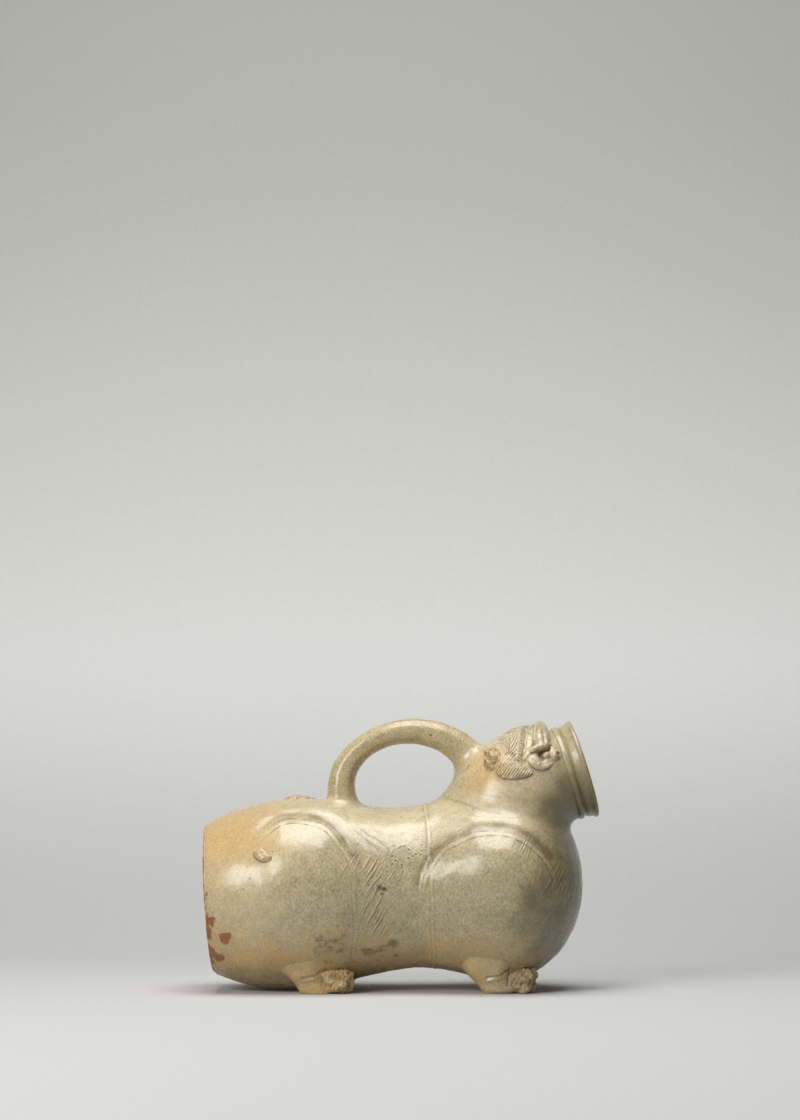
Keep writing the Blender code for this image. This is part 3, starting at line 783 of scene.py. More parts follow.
def glaze_fields() -> NodeTree:
    """Group that gives where the glaze lies olive, how it mottles, and its specks and pinholes.

    Returns:
        The group.
    """
    names = ("Olive", "Warm", "Deep", "Mottle", "Fleck", "Salt", "Speck", "Pinhole", "Grain")
    wiring, into, out = new_group("glaze_fields", {"Position": VECTOR}, dict.fromkeys(names, FLOAT))
    where = into["Position"]
    x, _, z = wiring.axes(where)
    cloud = wiring.noise(where, 0.021, 4.0) - 0.5
    rear = x.spread(-0.045, -0.10, 0.0, 0.9) * abs(z - 0.052).spread(0.012, 0.04, 0.35, 1.0)
    low = (cloud * 0.05 + z).spread(0.046, 0.028, 0.0, 0.9) * x.spread(0.03, 0.075, 1.0, 0.45)
    feeds = {0: wiring.vector("ABSOLUTE", where), 1: (0.048, 0.028, 0.135)}
    nape = wiring.add("ShaderNodeVectorMath", feeds, operation="DISTANCE")
    flush = Value(nape.outputs["Value"]).spread(0.008, 0.024, 0.75, 0.0)
    strap = z.spread(0.112, 0.124, 0.0, 0.55) * x.spread(0.03, 0.045, 1.0, 0.0)
    # Deep: darker moss towards the chest's front end and low down. It is partly a deeper glaze and partly
    # painted shade on the end and underside that face away from the lamps.
    low_side = wiring.sum("MINIMUM", wiring.highest(z, 0.045), 0.075)
    deep = ((low_side - 0.075) * -0.3 + x + cloud * 0.06).spread(0.066, 0.106)
    ahead = x.spread(-0.105, -0.02, 0.05, 1.0) * abs(z - 0.064).spread(0.014, 0.04, 1.0, 0.2)
    broad = wiring.noise(where, 0.046, 3.0) - 0.5
    patchy = wiring.noise(where, 0.012, 4.0) - 0.5
    feeds = {"Vector": where, "Rotation": (0.0, 0.35, 0.0), "Scale": (1.0, 1.0, 0.75)}
    streaks = wiring.add("ShaderNodeMapping", feeds).outputs[0]
    grain, grain_chance = wiring.dots(where, 0.0011)
    speck, speck_chance = wiring.dots(where, 0.0048)
    hole, hole_chance = wiring.dots(where, 0.0085)
    results = {
        "Warm": wiring.highest(rear, low, flush, strap),
        "Deep": deep * z.spread(0.012, 0.028, 0.25, 1.0) * z.spread(0.115, 0.15, 1.0, 0.4),
        "Olive": (strap * 0.85 + ahead + broad * 1.3 + patchy * 0.7).spread(0.15, 0.85),
        "Mottle": wiring.noise(where, 0.0062, 5.0, 0.62),
        "Fleck": wiring.noise(streaks, 0.0012, 3.0, 0.62),
        "Salt": grain_chance.spread(0.5, 0.9) * grain.spread(0.15, 0.5, 1.0, 0.0),
        "Speck": (speck_chance > 0.82) * speck.spread(0.05, 0.13, 1.0, 0.0),
        "Pinhole": (hole_chance > 0.88) * hole.spread(0.03, 0.075, 1.0, 0.0),
        "Grain": wiring.noise(where, 0.0007, 2.0),
    }
    wiring.feed(out, results)
    return wiring.tree


def scored_lines() -> NodeTree:
    """Group that draws the scored arcs, the seam, the strokes and the dots as dark and light lines.

    Returns:
        The group.
    """
    takes = {"Position": VECTOR} | dict.fromkeys(("Arch", "Seam", "Drawn", "Comb", "Slash", "Dots"), FLOAT)
    wiring, into, out = new_group("scored_lines", takes, {"Dark": FLOAT, "Light": FLOAT})
    x, _, z = wiring.axes(into["Position"])
    flat = wiring.add("ShaderNodeCombineXYZ", {0: x, 1: z}).outputs[0]
    bent = wiring.bent(flat, 24.0 * MM, 6.0 * MM)
    breaks = wiring.noise(into["Position"], 0.006, 3.0).spread(0.38, 0.6, 0.15, 0.9)
    arch, seam, drawn = into["Arch"], into["Seam"], into["Drawn"]
    arcs = wiring.highest(*(arch.line(1.0 + at * MM, 0.6 * MM) for at in (0.6, -2.6)))
    seams = wiring.highest(*(seam.line(1.0 + at * MM, 0.6 * MM) for at in (-1.4, 1.4)))
    dark = [arcs * drawn * breaks, seams * 0.45 * breaks]
    # The light lines are painted highlights: on the land between the arc's two scores, along the seam's
    # ridge, beside each stroke and round each dot.
    light = [arch.line(1.0 - 0.9 * MM, 1.3 * MM) * drawn * 0.25, seam.line(1.0, 0.9 * MM) * breaks * 0.35]
    for key, lean in (("Comb", -0.61), ("Slash", 1.05)):
        beside = wiring.vector("ADD", bent, (0.7 * MM * math.sin(lean), -0.7 * MM * math.cos(lean), 0.0))
        dark.append(wiring.dashes(bent, lean) * 0.8 * into[key])
        light.append(wiring.dashes(beside, lean) * 1.2 * into[key])
    distance, _ = wiring.dots(flat, 4.4 * MM, "2D")
    dark.append(distance.spread(0.1, 0.24, 0.85, 0.0) * into["Dots"])
    light.append(distance.spread(0.22, 0.42, 0.45, 0.0) * into["Dots"])
    darkest = wiring.highest(*dark)
    wiring.feed(out, {"Dark": darkest, "Light": wiring.highest(*light) - darkest})
    return wiring.tree


def glaze_coat(fields: NodeTree, lines: NodeTree) -> NodeTree:
    """Group that lays the glaze over the clay and gives its colour, roughness and height.

    Args:
        fields: Group that says where the glaze changes.
        lines: Group that draws the scored ornament.

    Returns:
        The group.
    """
    takes = {"Position": VECTOR, "Grit": FLOAT} | dict.fromkeys((key.capitalize() for key in MARKS), FLOAT)
    takes |= dict.fromkeys((key.capitalize() for key in COLOURS), COLOUR)
    gives = {"Colour": COLOUR, "Roughness": FLOAT, "Height": FLOAT}
    wiring, into, out = new_group("glaze_coat", takes, gives)
    seen, drawn = wiring.group(fields, into), wiring.group(lines, into)
    mottle, fleck, grain, grit = seen["Mottle"], seen["Fleck"], seen["Grain"], into["Grit"]
    dark, light = drawn["Dark"], wiring.highest(drawn["Light"], 0.0)
    cover = seen["Olive"] * seen["Warm"].spread(0.0, 0.9, 1.0, 0.45)
    fine = (grain * 0.5 + (fleck - 0.75)) * seen["Olive"].spread(0.0, 1.0, 0.9, 1.6) + 1.0
    edge = (mottle - 0.5) * 4.0 + into["Seep"] + (fleck - 0.5) * 1.2
    seep = edge.spread(0.3, 1.1, 0.0, 0.75) * into["Seep"].spread(0.02, 0.2)
    edge = (mottle - 0.5) * 2.8 + into["Bare"] + (fleck - 0.5)
    worn = edge.spread(0.42, 0.62) * into["Bare"].spread(0.02, 0.15)
    under = (
        (seen["Warm"] * mottle.spread(0.3, 0.7, 0.6, 1.2), into["Ochre"]),
        (cover, into["Olive"]),
        (seen["Salt"] * cover.spread(0.0, 1.0, 0.1, 0.6), into["Buff"]),
        # Darker moss towards the front end and low down: partly deeper glaze, partly painted shade.
        (seen["Deep"] * 0.86, into["Moss"]),
    )
    over = (
        (seep, into["Moss"]),
        (into["Groove"] * 0.75, into["Pool"]),
        (dark * 0.85, into["Pool"]),
        # Painted highlight: the light lines of the scored marks, in a buff a quarter brighter.
        (light * 0.6, wiring.tint(into["Buff"], 1.25)),
        (into["Stain"] * 0.9, into["Iron"]),
        (worn, wiring.tint(into["Clay"], fleck.spread(0.3, 0.7, 0.5, 1.25))),
        (grit * mottle.spread(0.5, 0.66, 0.0, 0.7), into["Pool"]),
        (wiring.highest(seen["Speck"] * 0.6, seen["Pinhole"]), into["Iron"]),
    )
    colour = into["Buff"]
    for share, paint in under:
        colour = wiring.blend(share, colour, paint)
    colour = wiring.tint(colour, mottle.spread(0.25, 0.75, 0.9, 1.1) * fine)
    for share, paint in over:
        colour = wiring.blend(share, colour, paint)
    height = mottle * 0.5 + fleck * 0.5 + grain * worn.spread(0.0, 1.0, 0.08, 0.4)
    results = {
        "Colour": colour,
        "Roughness": mottle * 0.2 + 0.18 + worn * 0.35 + grit * 0.22,
        "Height": height + light * 0.8 - dark * 1.3 - seen["Pinhole"] * 1.2,
    }
    wiring.feed(out, results)
    return wiring.tree


@dataclass(frozen=True)
class Glaze:
    """Ash glaze over stoneware clay, as linear colours."""

    slot: Slot
    buff: Triple = (0.60, 0.50, 0.31)
    olive: Triple = (0.46, 0.39, 0.225)
    ochre: Triple = (0.60, 0.405, 0.17)
    pool: Triple = (0.17, 0.115, 0.05)
    clay: Triple = (0.37, 0.15, 0.05)
    iron: Triple = (0.05, 0.035, 0.02)
    moss: Triple = (0.14, 0.12, 0.045)
    grit: float = 0.0
    gloss: float = 0.5
    sheen: float = 0.3
    bump: float = 0.36
    bump_depth: float = 0.6 * MM
    coat_roughness: float = 0.13

    def finish(self, coat: NodeTree) -> Finish:
        """Makes the material of this glaze.

        Args:
            coat: Group that lays the glaze over the clay.

        Returns:
            The material and its slot.
        """
        material = bpy.data.materials.new(self.slot.value)
        material.use_nodes = True
        wiring = Wiring(material.node_tree)
        feeds = {"Position": wiring.add("ShaderNodeTexCoord").outputs["Object"], "Grit": self.grit}
        for key in MARKS:
            feeds[key.capitalize()] = wiring.add("ShaderNodeAttribute", attribute_name=key).outputs["Fac"]
        for key in COLOURS:
            feeds[key.capitalize()] = (*getattr(self, key), 1.0)
        laid = wiring.group(coat, feeds)
        feeds = {"Strength": self.bump, "Distance": self.bump_depth, "Height": laid["Height"]}
        bump = wiring.add("ShaderNodeBump", feeds)
        look = {
            "Base Color": laid["Colour"],
            "Roughness": laid["Roughness"],
            "Normal": bump.outputs["Normal"],
            "Metallic": 0.0,
            "Specular IOR Level": self.gloss,
            "Coat Weight": self.sheen,
            "Coat Roughness": self.coat_roughness,
        }
        wiring.feed(material.node_tree.nodes["Principled BSDF"], look)
        return Finish(material, self.slot)


@dataclass
class Finishes:
    """The vessel's four finishes."""

    buff: Finish
    olive: Finish
    gritty: Finish
    clay: Finish

    @classmethod
    def fired(cls) -> "Finishes":
        """Makes the four finishes from one coat of glaze.

        Returns:
            The finishes.
        """
        coat = glaze_coat(glaze_fields(), scored_lines())
        return cls(
            buff=Glaze(Slot.BUFF).finish(coat),
            olive=Glaze(Slot.OLIVE).finish(coat),
            gritty=Glaze(Slot.GRITTY, grit=0.8, bump=0.5, sheen=0.1, pool=(0.3, 0.19, 0.09)).finish(coat),
            clay=Glaze(Slot.CLAY, bump=0.3, sheen=0.1).finish(coat),
        )


# Geometry Nodes for what repeats


def new_nodes(name: str, takes: dict[str, tuple[str, object]]) -> tuple[Wiring, Node, dict[str, object]]:
    """Starts a Geometry Nodes tree.

    Args:
        name: The tree's name.
        takes: Socket type and value of each named input besides the geometry.

    Returns:
        Wiring, the input node, and each input's value by its socket's identifier.
    """
    tree = bpy.data.node_groups.new(name, "GeometryNodeTree")
    tree.interface.new_socket("Geometry", in_out="INPUT", socket_type="NodeSocketGeometry")
    values = {}
    for key, (kind, value) in takes.items():
        values[tree.interface.new_socket(key, in_out="INPUT", socket_type=kind).identifier] = value
    tree.interface.new_socket("Geometry", in_out="OUTPUT", socket_type="NodeSocketGeometry")
    wiring = Wiring(tree)
    return wiring, wiring.add("NodeGroupInput"), values


def finish_tree(wiring: Wiring, shape: NodeSocket, material: NodeSocket) -> None:
    """Ends a tree in Realize Instances and Set Material.

    Args:
        wiring: Wiring of the tree.
        shape: What the tree made.
        material: Input with the finish.
    """
    real = wiring.add("GeometryNodeRealizeInstances", {0: shape})
    dress = wiring.add("GeometryNodeSetMaterial", {"Geometry": real.outputs[0], "Material": material})
    wiring.add("NodeGroupOutput", {0: dress.outputs[0]})


def grown(base: Mesh, tree: NodeTree, values: dict[str, object], name: str) -> Mesh:
    """Runs a tree on a mesh and gives the result as a plain mesh.

    Args:
        base: Mesh that the tree starts from.
        tree: The tree.
        values: Value of each input by its socket's identifier.
        name: Name of the new mesh.

    Returns:
        The plain mesh.
    """
    carrier = linked(f"{name}_base", base)
    step = carrier.modifiers.new("grow", "NODES")
    step.node_group = tree
    for key, value in values.items():
        step[key] = value
    return baked(carrier, name)


@dataclass(frozen=True)
class ClayCords:
    """Thin cords of clay that follow paths over a skin."""

    radius: float
    sides: int = 6
    tip: float = 0.4

    def mesh(self, paths: list[Grid], carrier: Object, finish: Finish, name: str) -> Mesh:
        """Mesh of all cords.

        Args:
            paths: Points of each path near the carrier.
            carrier: Piece that the cords are laid on.
            finish: Finish of the cords.
            name: Name of the mesh.

        Returns:
            The mesh.
        """
        points, edges = [], []
        for path in paths:
            edges += [(len(points) + k, len(points) + k + 1) for k in range(len(path) - 1)]
            points += path.tolist()
        base = bpy.data.meshes.new(f"{name}_paths")
        base.from_pydata(points, edges, [])
        takes = {"Carrier": ("NodeSocketObject", carrier), "Material": (MATERIAL, finish.material)}
        takes |= {"Radius": (FLOAT, self.radius), "Sides": (WHOLE, self.sides)}
        wiring, start, values = new_nodes("clay_cords", takes)
        into = start.outputs
        under = wiring.add("GeometryNodeObjectInfo", {"Object": into["Carrier"]}, transform_space="RELATIVE")
        near = wiring.add("GeometryNodeProximity", {0: under.outputs["Geometry"]}, target_element="FACES")
        feeds = {"Geometry": into["Geometry"], "Position": near.outputs["Position"]}
        laid = wiring.add("GeometryNodeSetPosition", feeds)
        curve = wiring.add("GeometryNodeMeshToCurve", {"Mesh": laid.outputs["Geometry"]})
        part = wiring.add("GeometryNodeSplineParameter")
        taper = wiring.sum("SINE", Value(part.outputs["Factor"]) * math.pi)
        full = wiring.sum("MULTIPLY_ADD", taper, 1.0 - self.tip, self.tip)
        feeds = {"Resolution": into["Sides"], "Radius": into["Radius"]}
        ring = wiring.add("GeometryNodeCurvePrimitiveCircle", feeds)
        feeds = {"Curve": curve.outputs["Curve"], "Profile Curve": ring.outputs["Curve"]}
        sweep = wiring.add("GeometryNodeCurveToMesh", feeds | {"Fill Caps": True, "Scale": full})
        finish_tree(wiring, sweep.outputs["Mesh"], into["Material"])
        return grown(base, wiring.tree, values, name)


@dataclass(frozen=True)
class KilnGrit:
    """Grains of sand and ash that stuck to a glazed skin in the kiln."""

    density: float
    radius: float
    seed: int
    least: Triple = (0.5, 0.5, 0.3)
    most: Triple = (1.5, 1.3, 0.8)

    def mesh(self, base: Mesh, finish: Finish, name: str) -> Mesh:
        """Mesh of all grains.

        Args:
            base: The skin, with an attribute named grit that says where grains lie.
            finish: Finish of the grains.
            name: Name of the mesh.

        Returns:
            The mesh.
        """
        takes = {"Density": (FLOAT, self.density), "Radius": (FLOAT, self.radius)}
        takes |= {"Seed": (WHOLE, self.seed), "Material": (MATERIAL, finish.material)}
        wiring, start, values = new_nodes("kiln_grit", takes)
        into = start.outputs
        where = wiring.add("GeometryNodeInputNamedAttribute", {"Name": "grit"}, data_type="FLOAT")
        amount = Value(where.outputs["Attribute"]) * into["Density"]
        feeds = {"Mesh": into["Geometry"], "Density": amount, "Seed": into["Seed"]}
        spread = wiring.add("GeometryNodeDistributePointsOnFaces", feeds)
        grain = wiring.add("GeometryNodeMeshIcoSphere", {"Radius": into["Radius"], "Subdivisions": 1})
        feeds = {0: self.least, 1: self.most, "Seed": into["Seed"]}
        chance = wiring.add("FunctionNodeRandomValue", feeds, data_type="FLOAT_VECTOR")
        feeds = {"Points": spread.outputs["Points"], "Instance": grain.outputs["Mesh"]}
        feeds |= {"Rotation": spread.outputs["Rotation"], "Scale": chance.outputs[0]}
        put = wiring.add("GeometryNodeInstanceOnPoints", feeds)
        finish_tree(wiring, put.outputs["Instances"], into["Material"])
        return grown(base.copy(), wiring.tree, values, name)


# Sub-assemblies


@dataclass(frozen=True)
class Arch:
    """Arched outline on the flank, seen from the side: half an ellipse on straight posts."""

    centre_x: float
    centre_z: float
    half_width: float
    half_height: float

    def offset(self, x: Grid, z: Grid) -> Grid:
        """Distance outside the outline, below zero inside it.

        Args:
            x: Places along the vessel.
            z: Their heights.

        Returns:
            The distance of each place.
        """
        side = (x - self.centre_x) / self.half_width
        top = np.maximum(z - self.centre_z, 0.0) / self.half_height
        round_part = np.hypot(side, top)
        steep = np.hypot(side / self.half_width, top / self.half_height) / np.maximum(round_part, 1e-6)
        return (round_part - 1.0) / np.maximum(steep, 1e-6)


@dataclass
class ThrownBody(Applied):
    """Waisted body thrown in two parts and joined at the waist, with its base disc."""

    belly_gap: float = 0.9 * MM
    chest_gap: float = 7.4 * MM
    base_radius: float = 45.4 * MM
    base_thickness: float = 6.0 * MM
    base_edge: float = 1.5 * MM
    haunch: float = 56.5 * MM
    haunch_radius: float = 58.2 * MM
    haunch_fullness: float = 2.4
    loin: float = 63.3 * MM
    waist_radius: float = 49.4 * MM
    seam_from_waist: float = 15.8 * MM
    shoulder: float = 61.5 * MM
    chest_radius: float = 58.9 * MM
    dome: float = 47.9 * MM
    wall: float = 6.5 * MM
    flank_edge: float = 14.0 * MM
    haunch_groove: float = 1.1 * MM
    shoulder_groove: float = 0.9 * MM
    seam_ridge: float = 0.16 * MM
    bare_height: float = 70.0 * MM
    bare_fade: float = 24.0 * MM
    bare_edge: float = 5.5 * MM
    columns: int = 456
    barrel_rows: int = 172
    shoulder_rows: int = 64
    dome_rows: int = 96
    inner_rows: int = 22
    combed: FlankMark = Patch(-20.5, 90.0, 11.0, 9.5)
    slashed: FlankMark = MarkSet(
        Patch(-15.0, 72.0, 12.0, 16.0),
        Patch(-15.0, 50.0, 9.0, 16.0, 0.9),
        Patch(-31.0, 78.0, 9.0, 12.0, 0.55),
        Patch(76.0, 87.0, 10.0, 9.0, 0.6),
        Patch(93.0, 64.0, 12.0, 22.0, 0.5),
    )
    punched: FlankMark = Patch(1.5, 82.5, 15.0, 12.0)
    bare_patches: FlankMark = MarkSet(
        Patch(-114.5, 43.0, 3.2, 7.0, 0.7),
        Patch(-104.8, 33.5, 4.6, 4.6, 0.7),
        Patch(-110.5, 22.0, 4.0, 4.0, 0.7),
        Patch(-12.2, 60.4, 1.4, 0.9, 0.7),
    )
    specks: FlankMark = MarkSet(
        Patch(-13.6, 64.2, 1.8, 1.6),
        Patch(-10.6, 63.2, 1.7, 1.4),
        Patch(-90.0, 69.5, 0.7, 0.7),
        Patch(-3.6, 23.0, 1.2, 0.8),
    )
    pools: FlankMark = MarkSet(
        Patch(-5.5, 30.0, 5.0, 3.4, 0.75),
        Patch(-12.0, 27.5, 5.0, 3.0, 0.75),
        Patch(-19.0, 25.0, 6.0, 3.4, 0.8),
        Patch(-42.0, 29.0, 13.0, 9.0, 0.6),
        Patch(-30.0, 21.0, 9.0, 5.0, 0.5),
        Patch(-13.0, 44.0, 6.0, 12.0, 0.4),
    )
    haunch_arch: Arch = Arch(*mm(-62.0, 62.0, 35.0, 43.0))
    shoulder_arch: Arch = Arch(*mm(53.0, 62.0, 40.0, 35.0))

    def __post_init__(self) -> None:
        """Works out the stations, the tilt and the place of the body's axis."""
        self.waist = self.haunch + self.loin
        self.seam = self.waist + self.seam_from_waist
        self.chest = self.waist + self.shoulder
        haunch_height = self.belly_gap + self.haunch_radius
        chest_height = self.chest_gap + self.chest_radius
        self.tilt = math.asin((chest_height - haunch_height) / (self.chest - self.haunch))
        self.axis_height = haunch_height - self.haunch * math.sin(self.tilt)
        low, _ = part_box("base_disc")
        edge = self.base_radius - self.base_edge
        self.axis_start = low.x + edge * math.sin(self.tilt)

    def radius(self, station: Grid) -> Grid:
        """Outer radius at stations on the axis.

        Args:
            station: Stations on the axis.

        Returns:
            The radius at each.
        """
        rear = np.clip((self.haunch - station) / self.haunch, 0.0, None)
        haunch = self.haunch_radius - (self.haunch_radius - self.base_radius) * rear**self.haunch_fullness
        fall = ease((station - self.haunch) / self.loin)
        loin = self.haunch_radius + (self.waist_radius - self.haunch_radius) * fall
        climb = ease((station - self.waist) / self.shoulder)
        shoulder = self.waist_radius + (self.chest_radius - self.waist_radius) * climb
        share = np.clip((station - self.chest) / self.dome, 0.0, 1.0)
        dome = self.chest_radius * np.sqrt(1.0 - share * share)
        before = [station <= self.haunch, station <= self.waist, station <= self.chest]
        return np.select(before, [haunch, loin, shoulder], dome)

    def placed(self, along: Grid, aside: Grid, up: Grid) -> Grid:
        """Points given along and about the tilted axis.

        Args:
            along: Lengths along the axis.
            aside: Lengths to the left.
            up: Lengths up from the axis.

        Returns:
            The points.
        """
        lean, rise = math.cos(self.tilt), math.sin(self.tilt)
        x = along * lean - up * rise + self.axis_start
        z = along * rise + up * lean + self.axis_height
        return as_points(x, aside, z)

    def ring(self, along: Grid, reach: Grid, roll: Grid) -> Grid:
        """Points at a reach from the axis and at a roll, which is 0 on the back."""
        return self.placed(along, -reach * np.sin(roll), reach * np.cos(roll))

    def local(self, points: Grid) -> tuple[Grid, Grid, Grid]:
        """Lengths of points along the tilted axis, aside and up from it.

        Args:
            points: Places in space.

        Returns:
            The three lengths.
        """
        lean, rise = math.cos(self.tilt), math.sin(self.tilt)
        x = points[..., 0] - self.axis_start
        z = points[..., 2] - self.axis_height
        return x * lean + z * rise, points[..., 1], z * lean - x * rise

    def point(self, start: Grid, roll: Grid, lift: Grid) -> Grid:
        """Points over the skin at a station and a roll, which is 0 on the back."""
        return self.ring(start, self.radius(start) + lift, roll)

    def scale(self, start: Grid, roll: Grid) -> Grids:
        """Metres per unit of station and per radian of roll."""
        return np.ones_like(np.asarray(roll, float)), self.radius(np.asarray(start))

    def gap(self, points: Grid) -> Grid:
        """Distance of points over the skin.

        Args:
            points: Places in space.

        Returns:
            The distance of each.
        """
        along, aside, up = self.local(points)
        spread = np.hypot(aside, up)
        step = 0.2 * MM
        slope = (self.radius(along + step) - self.radius(along - step)) / (2.0 * step)
        wall = (spread - self.radius(along)) / np.sqrt(1.0 + slope * slope)
        ahead = np.maximum(along - self.chest, 0.0)
        share = np.hypot(ahead / self.dome, spread / self.chest_radius)
        steep = np.hypot(ahead / self.dome**2, spread / self.chest_radius**2) / np.maximum(share, 1e-9)
        dome = (share - 1.0) / np.maximum(steep, 1e-9)
        return np.where(along > self.chest, dome, wall)

    def ornament(self, points: Grid) -> tuple[Grid, dict[str, Grid]]:
        """Modelled ornament of the flanks and the seam.

        Args:
            points: Places on the plain skin.

        Returns:
            Height of the ornament, and the values by which the glaze pools in it and is scored.
        """
        x, y, z = points[..., 0], np.abs(points[..., 1]), points[..., 2]
        station, _, _ = self.local(points)
        flank = ease((y - self.flank_edge) / self.flank_edge)
        wander = WANDER.at(points)
        worn = np.clip(0.72 + BREAKS.at(points), 0.2, 1.0)
        haunch = self.haunch_arch.offset(x, z) + wander
        shoulder = self.shoulder_arch.offset(x, z) - wander
        on_haunch = flank * ease((x + 92.0 * MM) / (20.0 * MM)) * ease((z - 14.0 * MM) / (14.0 * MM))
        crown = on_haunch * ease((z - 70.0 * MM) / (14.0 * MM))
        on_shoulder = flank * ease((102.0 * MM - x) / (16.0 * MM)) * ease((z - 58.0 * MM) / (10.0 * MM))
        lift = flank * MM * (0.8 * ease(-haunch / (14.0 * MM)) + 2.0 * ease(-shoulder / (14.0 * MM)))
        lift -= self.haunch_groove * ridge(haunch - 4.0 * MM, 3.0 * MM) * crown
        lift -= self.shoulder_groove * ridge(shoulder - 3.2 * MM, 2.6 * MM) * on_shoulder
        lift += self.seam_ridge * ridge(station - self.seam, 1.1 * MM)
        pooled = ridge(haunch - 3.6 * MM, 2.1 * MM) * crown * worn
        ahead = 1.0 + 0.6 * ease((x - 55.0 * MM) / (18.0 * MM))
        on_arc = ahead * ridge(shoulder - 3.0 * MM, 2.1 * MM) * on_shoulder * worn
        crease = LUTING_CREASE.at(x, z)
        lift -= CREASE_DEPTH * crease
        pooled = np.max([pooled, np.minimum(on_arc, 1.0), CREASE_POOL * crease], axis=0)
        nearer = np.abs(haunch) < np.abs(shoulder)
        values = {
            "groove": pooled,
            "arch": 1.0 + np.where(nearer, haunch, shoulder),
            "drawn": np.where(nearer, on_haunch * (0.4 + 0.6 * crown), 0.85 * on_shoulder),
            "seam": 1.0 + station - self.seam - 0.6 * wander,
            "comb": flank * self.combed.at(x, z),
            "slash": flank * self.slashed.at(x, z),
            "dots": flank * self.punched.at(x, z),
        }
        return lift, values

    def bare(self, points: Grid) -> Grid:
        """How far the glaze is gone: along the low rear edge and in patches on the right near it.

        Args:
            points: Places on the skin.

        Returns:
            0 where the glaze is whole, rising to 1 where it is gone.
        """
        low = ease((self.bare_height - points[..., 2]) / self.bare_fade)
        rear = 1.0 - ease((self.local(points)[0] - 1.0 * MM) / self.bare_edge)
        return np.maximum((0.62 * low + 0.16) * rear, self.bare_patches.on(points) * (points[..., 1] < 0.0))

    def sheet(self, stations: Grid, inner: Grid) -> Sheet:
        """Wall between two cuts.

        Args:
            stations: Stations of the outside's rings.
            inner: Stations of the inside's rings.

        Returns:
            The closed wall, in order along the outside and back along the inside.
        """
        rolls = full_turn(self.columns)[None, :]
        plain = self.point(stations[:, None], rolls, np.zeros(1))
        lift, values = self.ornament(plain)
        outside = plain + self.normal(plain) * (lift + uneven(plain))[..., None]
        reach = np.maximum(self.radius(inner) - self.wall, 0.4 * MM)[:, None]
        inside = self.ring(inner[:, None], reach, rolls)
        points = np.concatenate([outside, inside])
        stain = self.specks.on(plain) * (plain[..., 1] < 0.0)
        values |= {"bare": self.bare(plain), "stain": stain, "seep": self.pools.on(plain)}
        plain_inside = np.zeros(inside.shape[:2])
        return Sheet(points, {key: np.concatenate([grid, plain_inside]) for key, grid in values.items()})

    def base(self, finishes: Finishes) -> None:
        """Flat disc that closes the rear, with a worn round edge.

        Args:
            finishes: The vessel's finishes.
        """
        rolls = full_turn(self.columns // 2)[None, :]
        rim = self.base_radius
        turn = quarter_turn(9)
        flat = np.linspace(0.02, 1.0, 40) * (rim - self.base_edge)
        along = [np.zeros(len(flat)), self.base_edge * (1.0 - np.cos(turn[1:]))]
        reach = [flat, rim - self.base_edge + self.base_edge * np.sin(turn[1:])]
        side = np.linspace(self.base_edge, self.base_thickness, 8)[1:]
        along += [side, np.full(2, self.base_thickness + 0.6 * MM)]
        reach += [self.radius(side), np.array([rim - 1.0 * MM, 0.3 * rim])]
        along_row, reach_row = np.concatenate(along)[:, None], np.concatenate(reach)[:, None]
        points = self.ring(along_row, reach_row, rolls)
        points += self.normal(points) * (uneven(points) * ease(along_row / self.base_thickness))[..., None]
        points[..., 0] += 2.0 * np.abs(RIPPLE.at(points)) * (along_row < 0.5 * self.base_edge)
        outer = ease((reach_row - 0.5 * rim) / (0.5 * rim)) * np.ones_like(rolls)
        values = {"bare": np.where(along_row < 0.6 * self.base_edge, 1.0 - 0.35 * outer, self.bare(points))}
        settle(Sheet(points, values).mesh("base_disc"), "clay_base_disc", finishes.clay, "base_disc")

    def barrel(self, finishes: Finishes) -> None:
        """Rear part of the body, from the base to the waist seam.

        Args:
            finishes: The vessel's finishes.
        """
        stations = np.linspace(self.base_thickness, self.seam + 0.3 * MM, self.barrel_rows)
        inner = np.linspace(self.seam + 0.3 * MM, self.base_thickness, self.inner_rows)
        sheet = self.sheet(stations, inner)
        sheet.looped = True
        settle(sheet.mesh("rear_barrel"), "glazed_rear_barrel", finishes.buff, "rear_barrel")

    def bulb(self, finishes: Finishes, neck: "BentNeck") -> None:
        """Front part of the body, from the waist seam to the tip of the chest, opened under the neck.

        Args:
            finishes: The vessel's finishes.
            neck: The neck that the opening is for.
        """
        shoulder = np.linspace(self.seam, self.chest, self.shoulder_rows)
        turns = quarter_turn(self.dome_rows)[1:]
        stations = np.concatenate([shoulder, self.chest + self.dome * np.sin(turns) * 0.99995])
        inner_dome = self.chest + (self.dome - self.wall) * np.sin(quarter_turn(12)[1:])
        inner = np.concatenate([np.linspace(self.seam, self.chest, 10), inner_dome])
        whole = linked("whole_bulb", self.sheet(stations[::-1], inner).mesh("chest_bulb"))
        cutter = neck.bore_cutter()
        step = whole.modifiers.new("throat", "BOOLEAN")
        step.operation = "DIFFERENCE"
        step.solver = "MANIFOLD"
        step.object = cutter
        opened = baked(whole, "chest_bulb")
        bpy.data.objects.remove(cutter)
        settle(opened, "glazed_chest_bulb", finishes.olive, "chest_bulb")


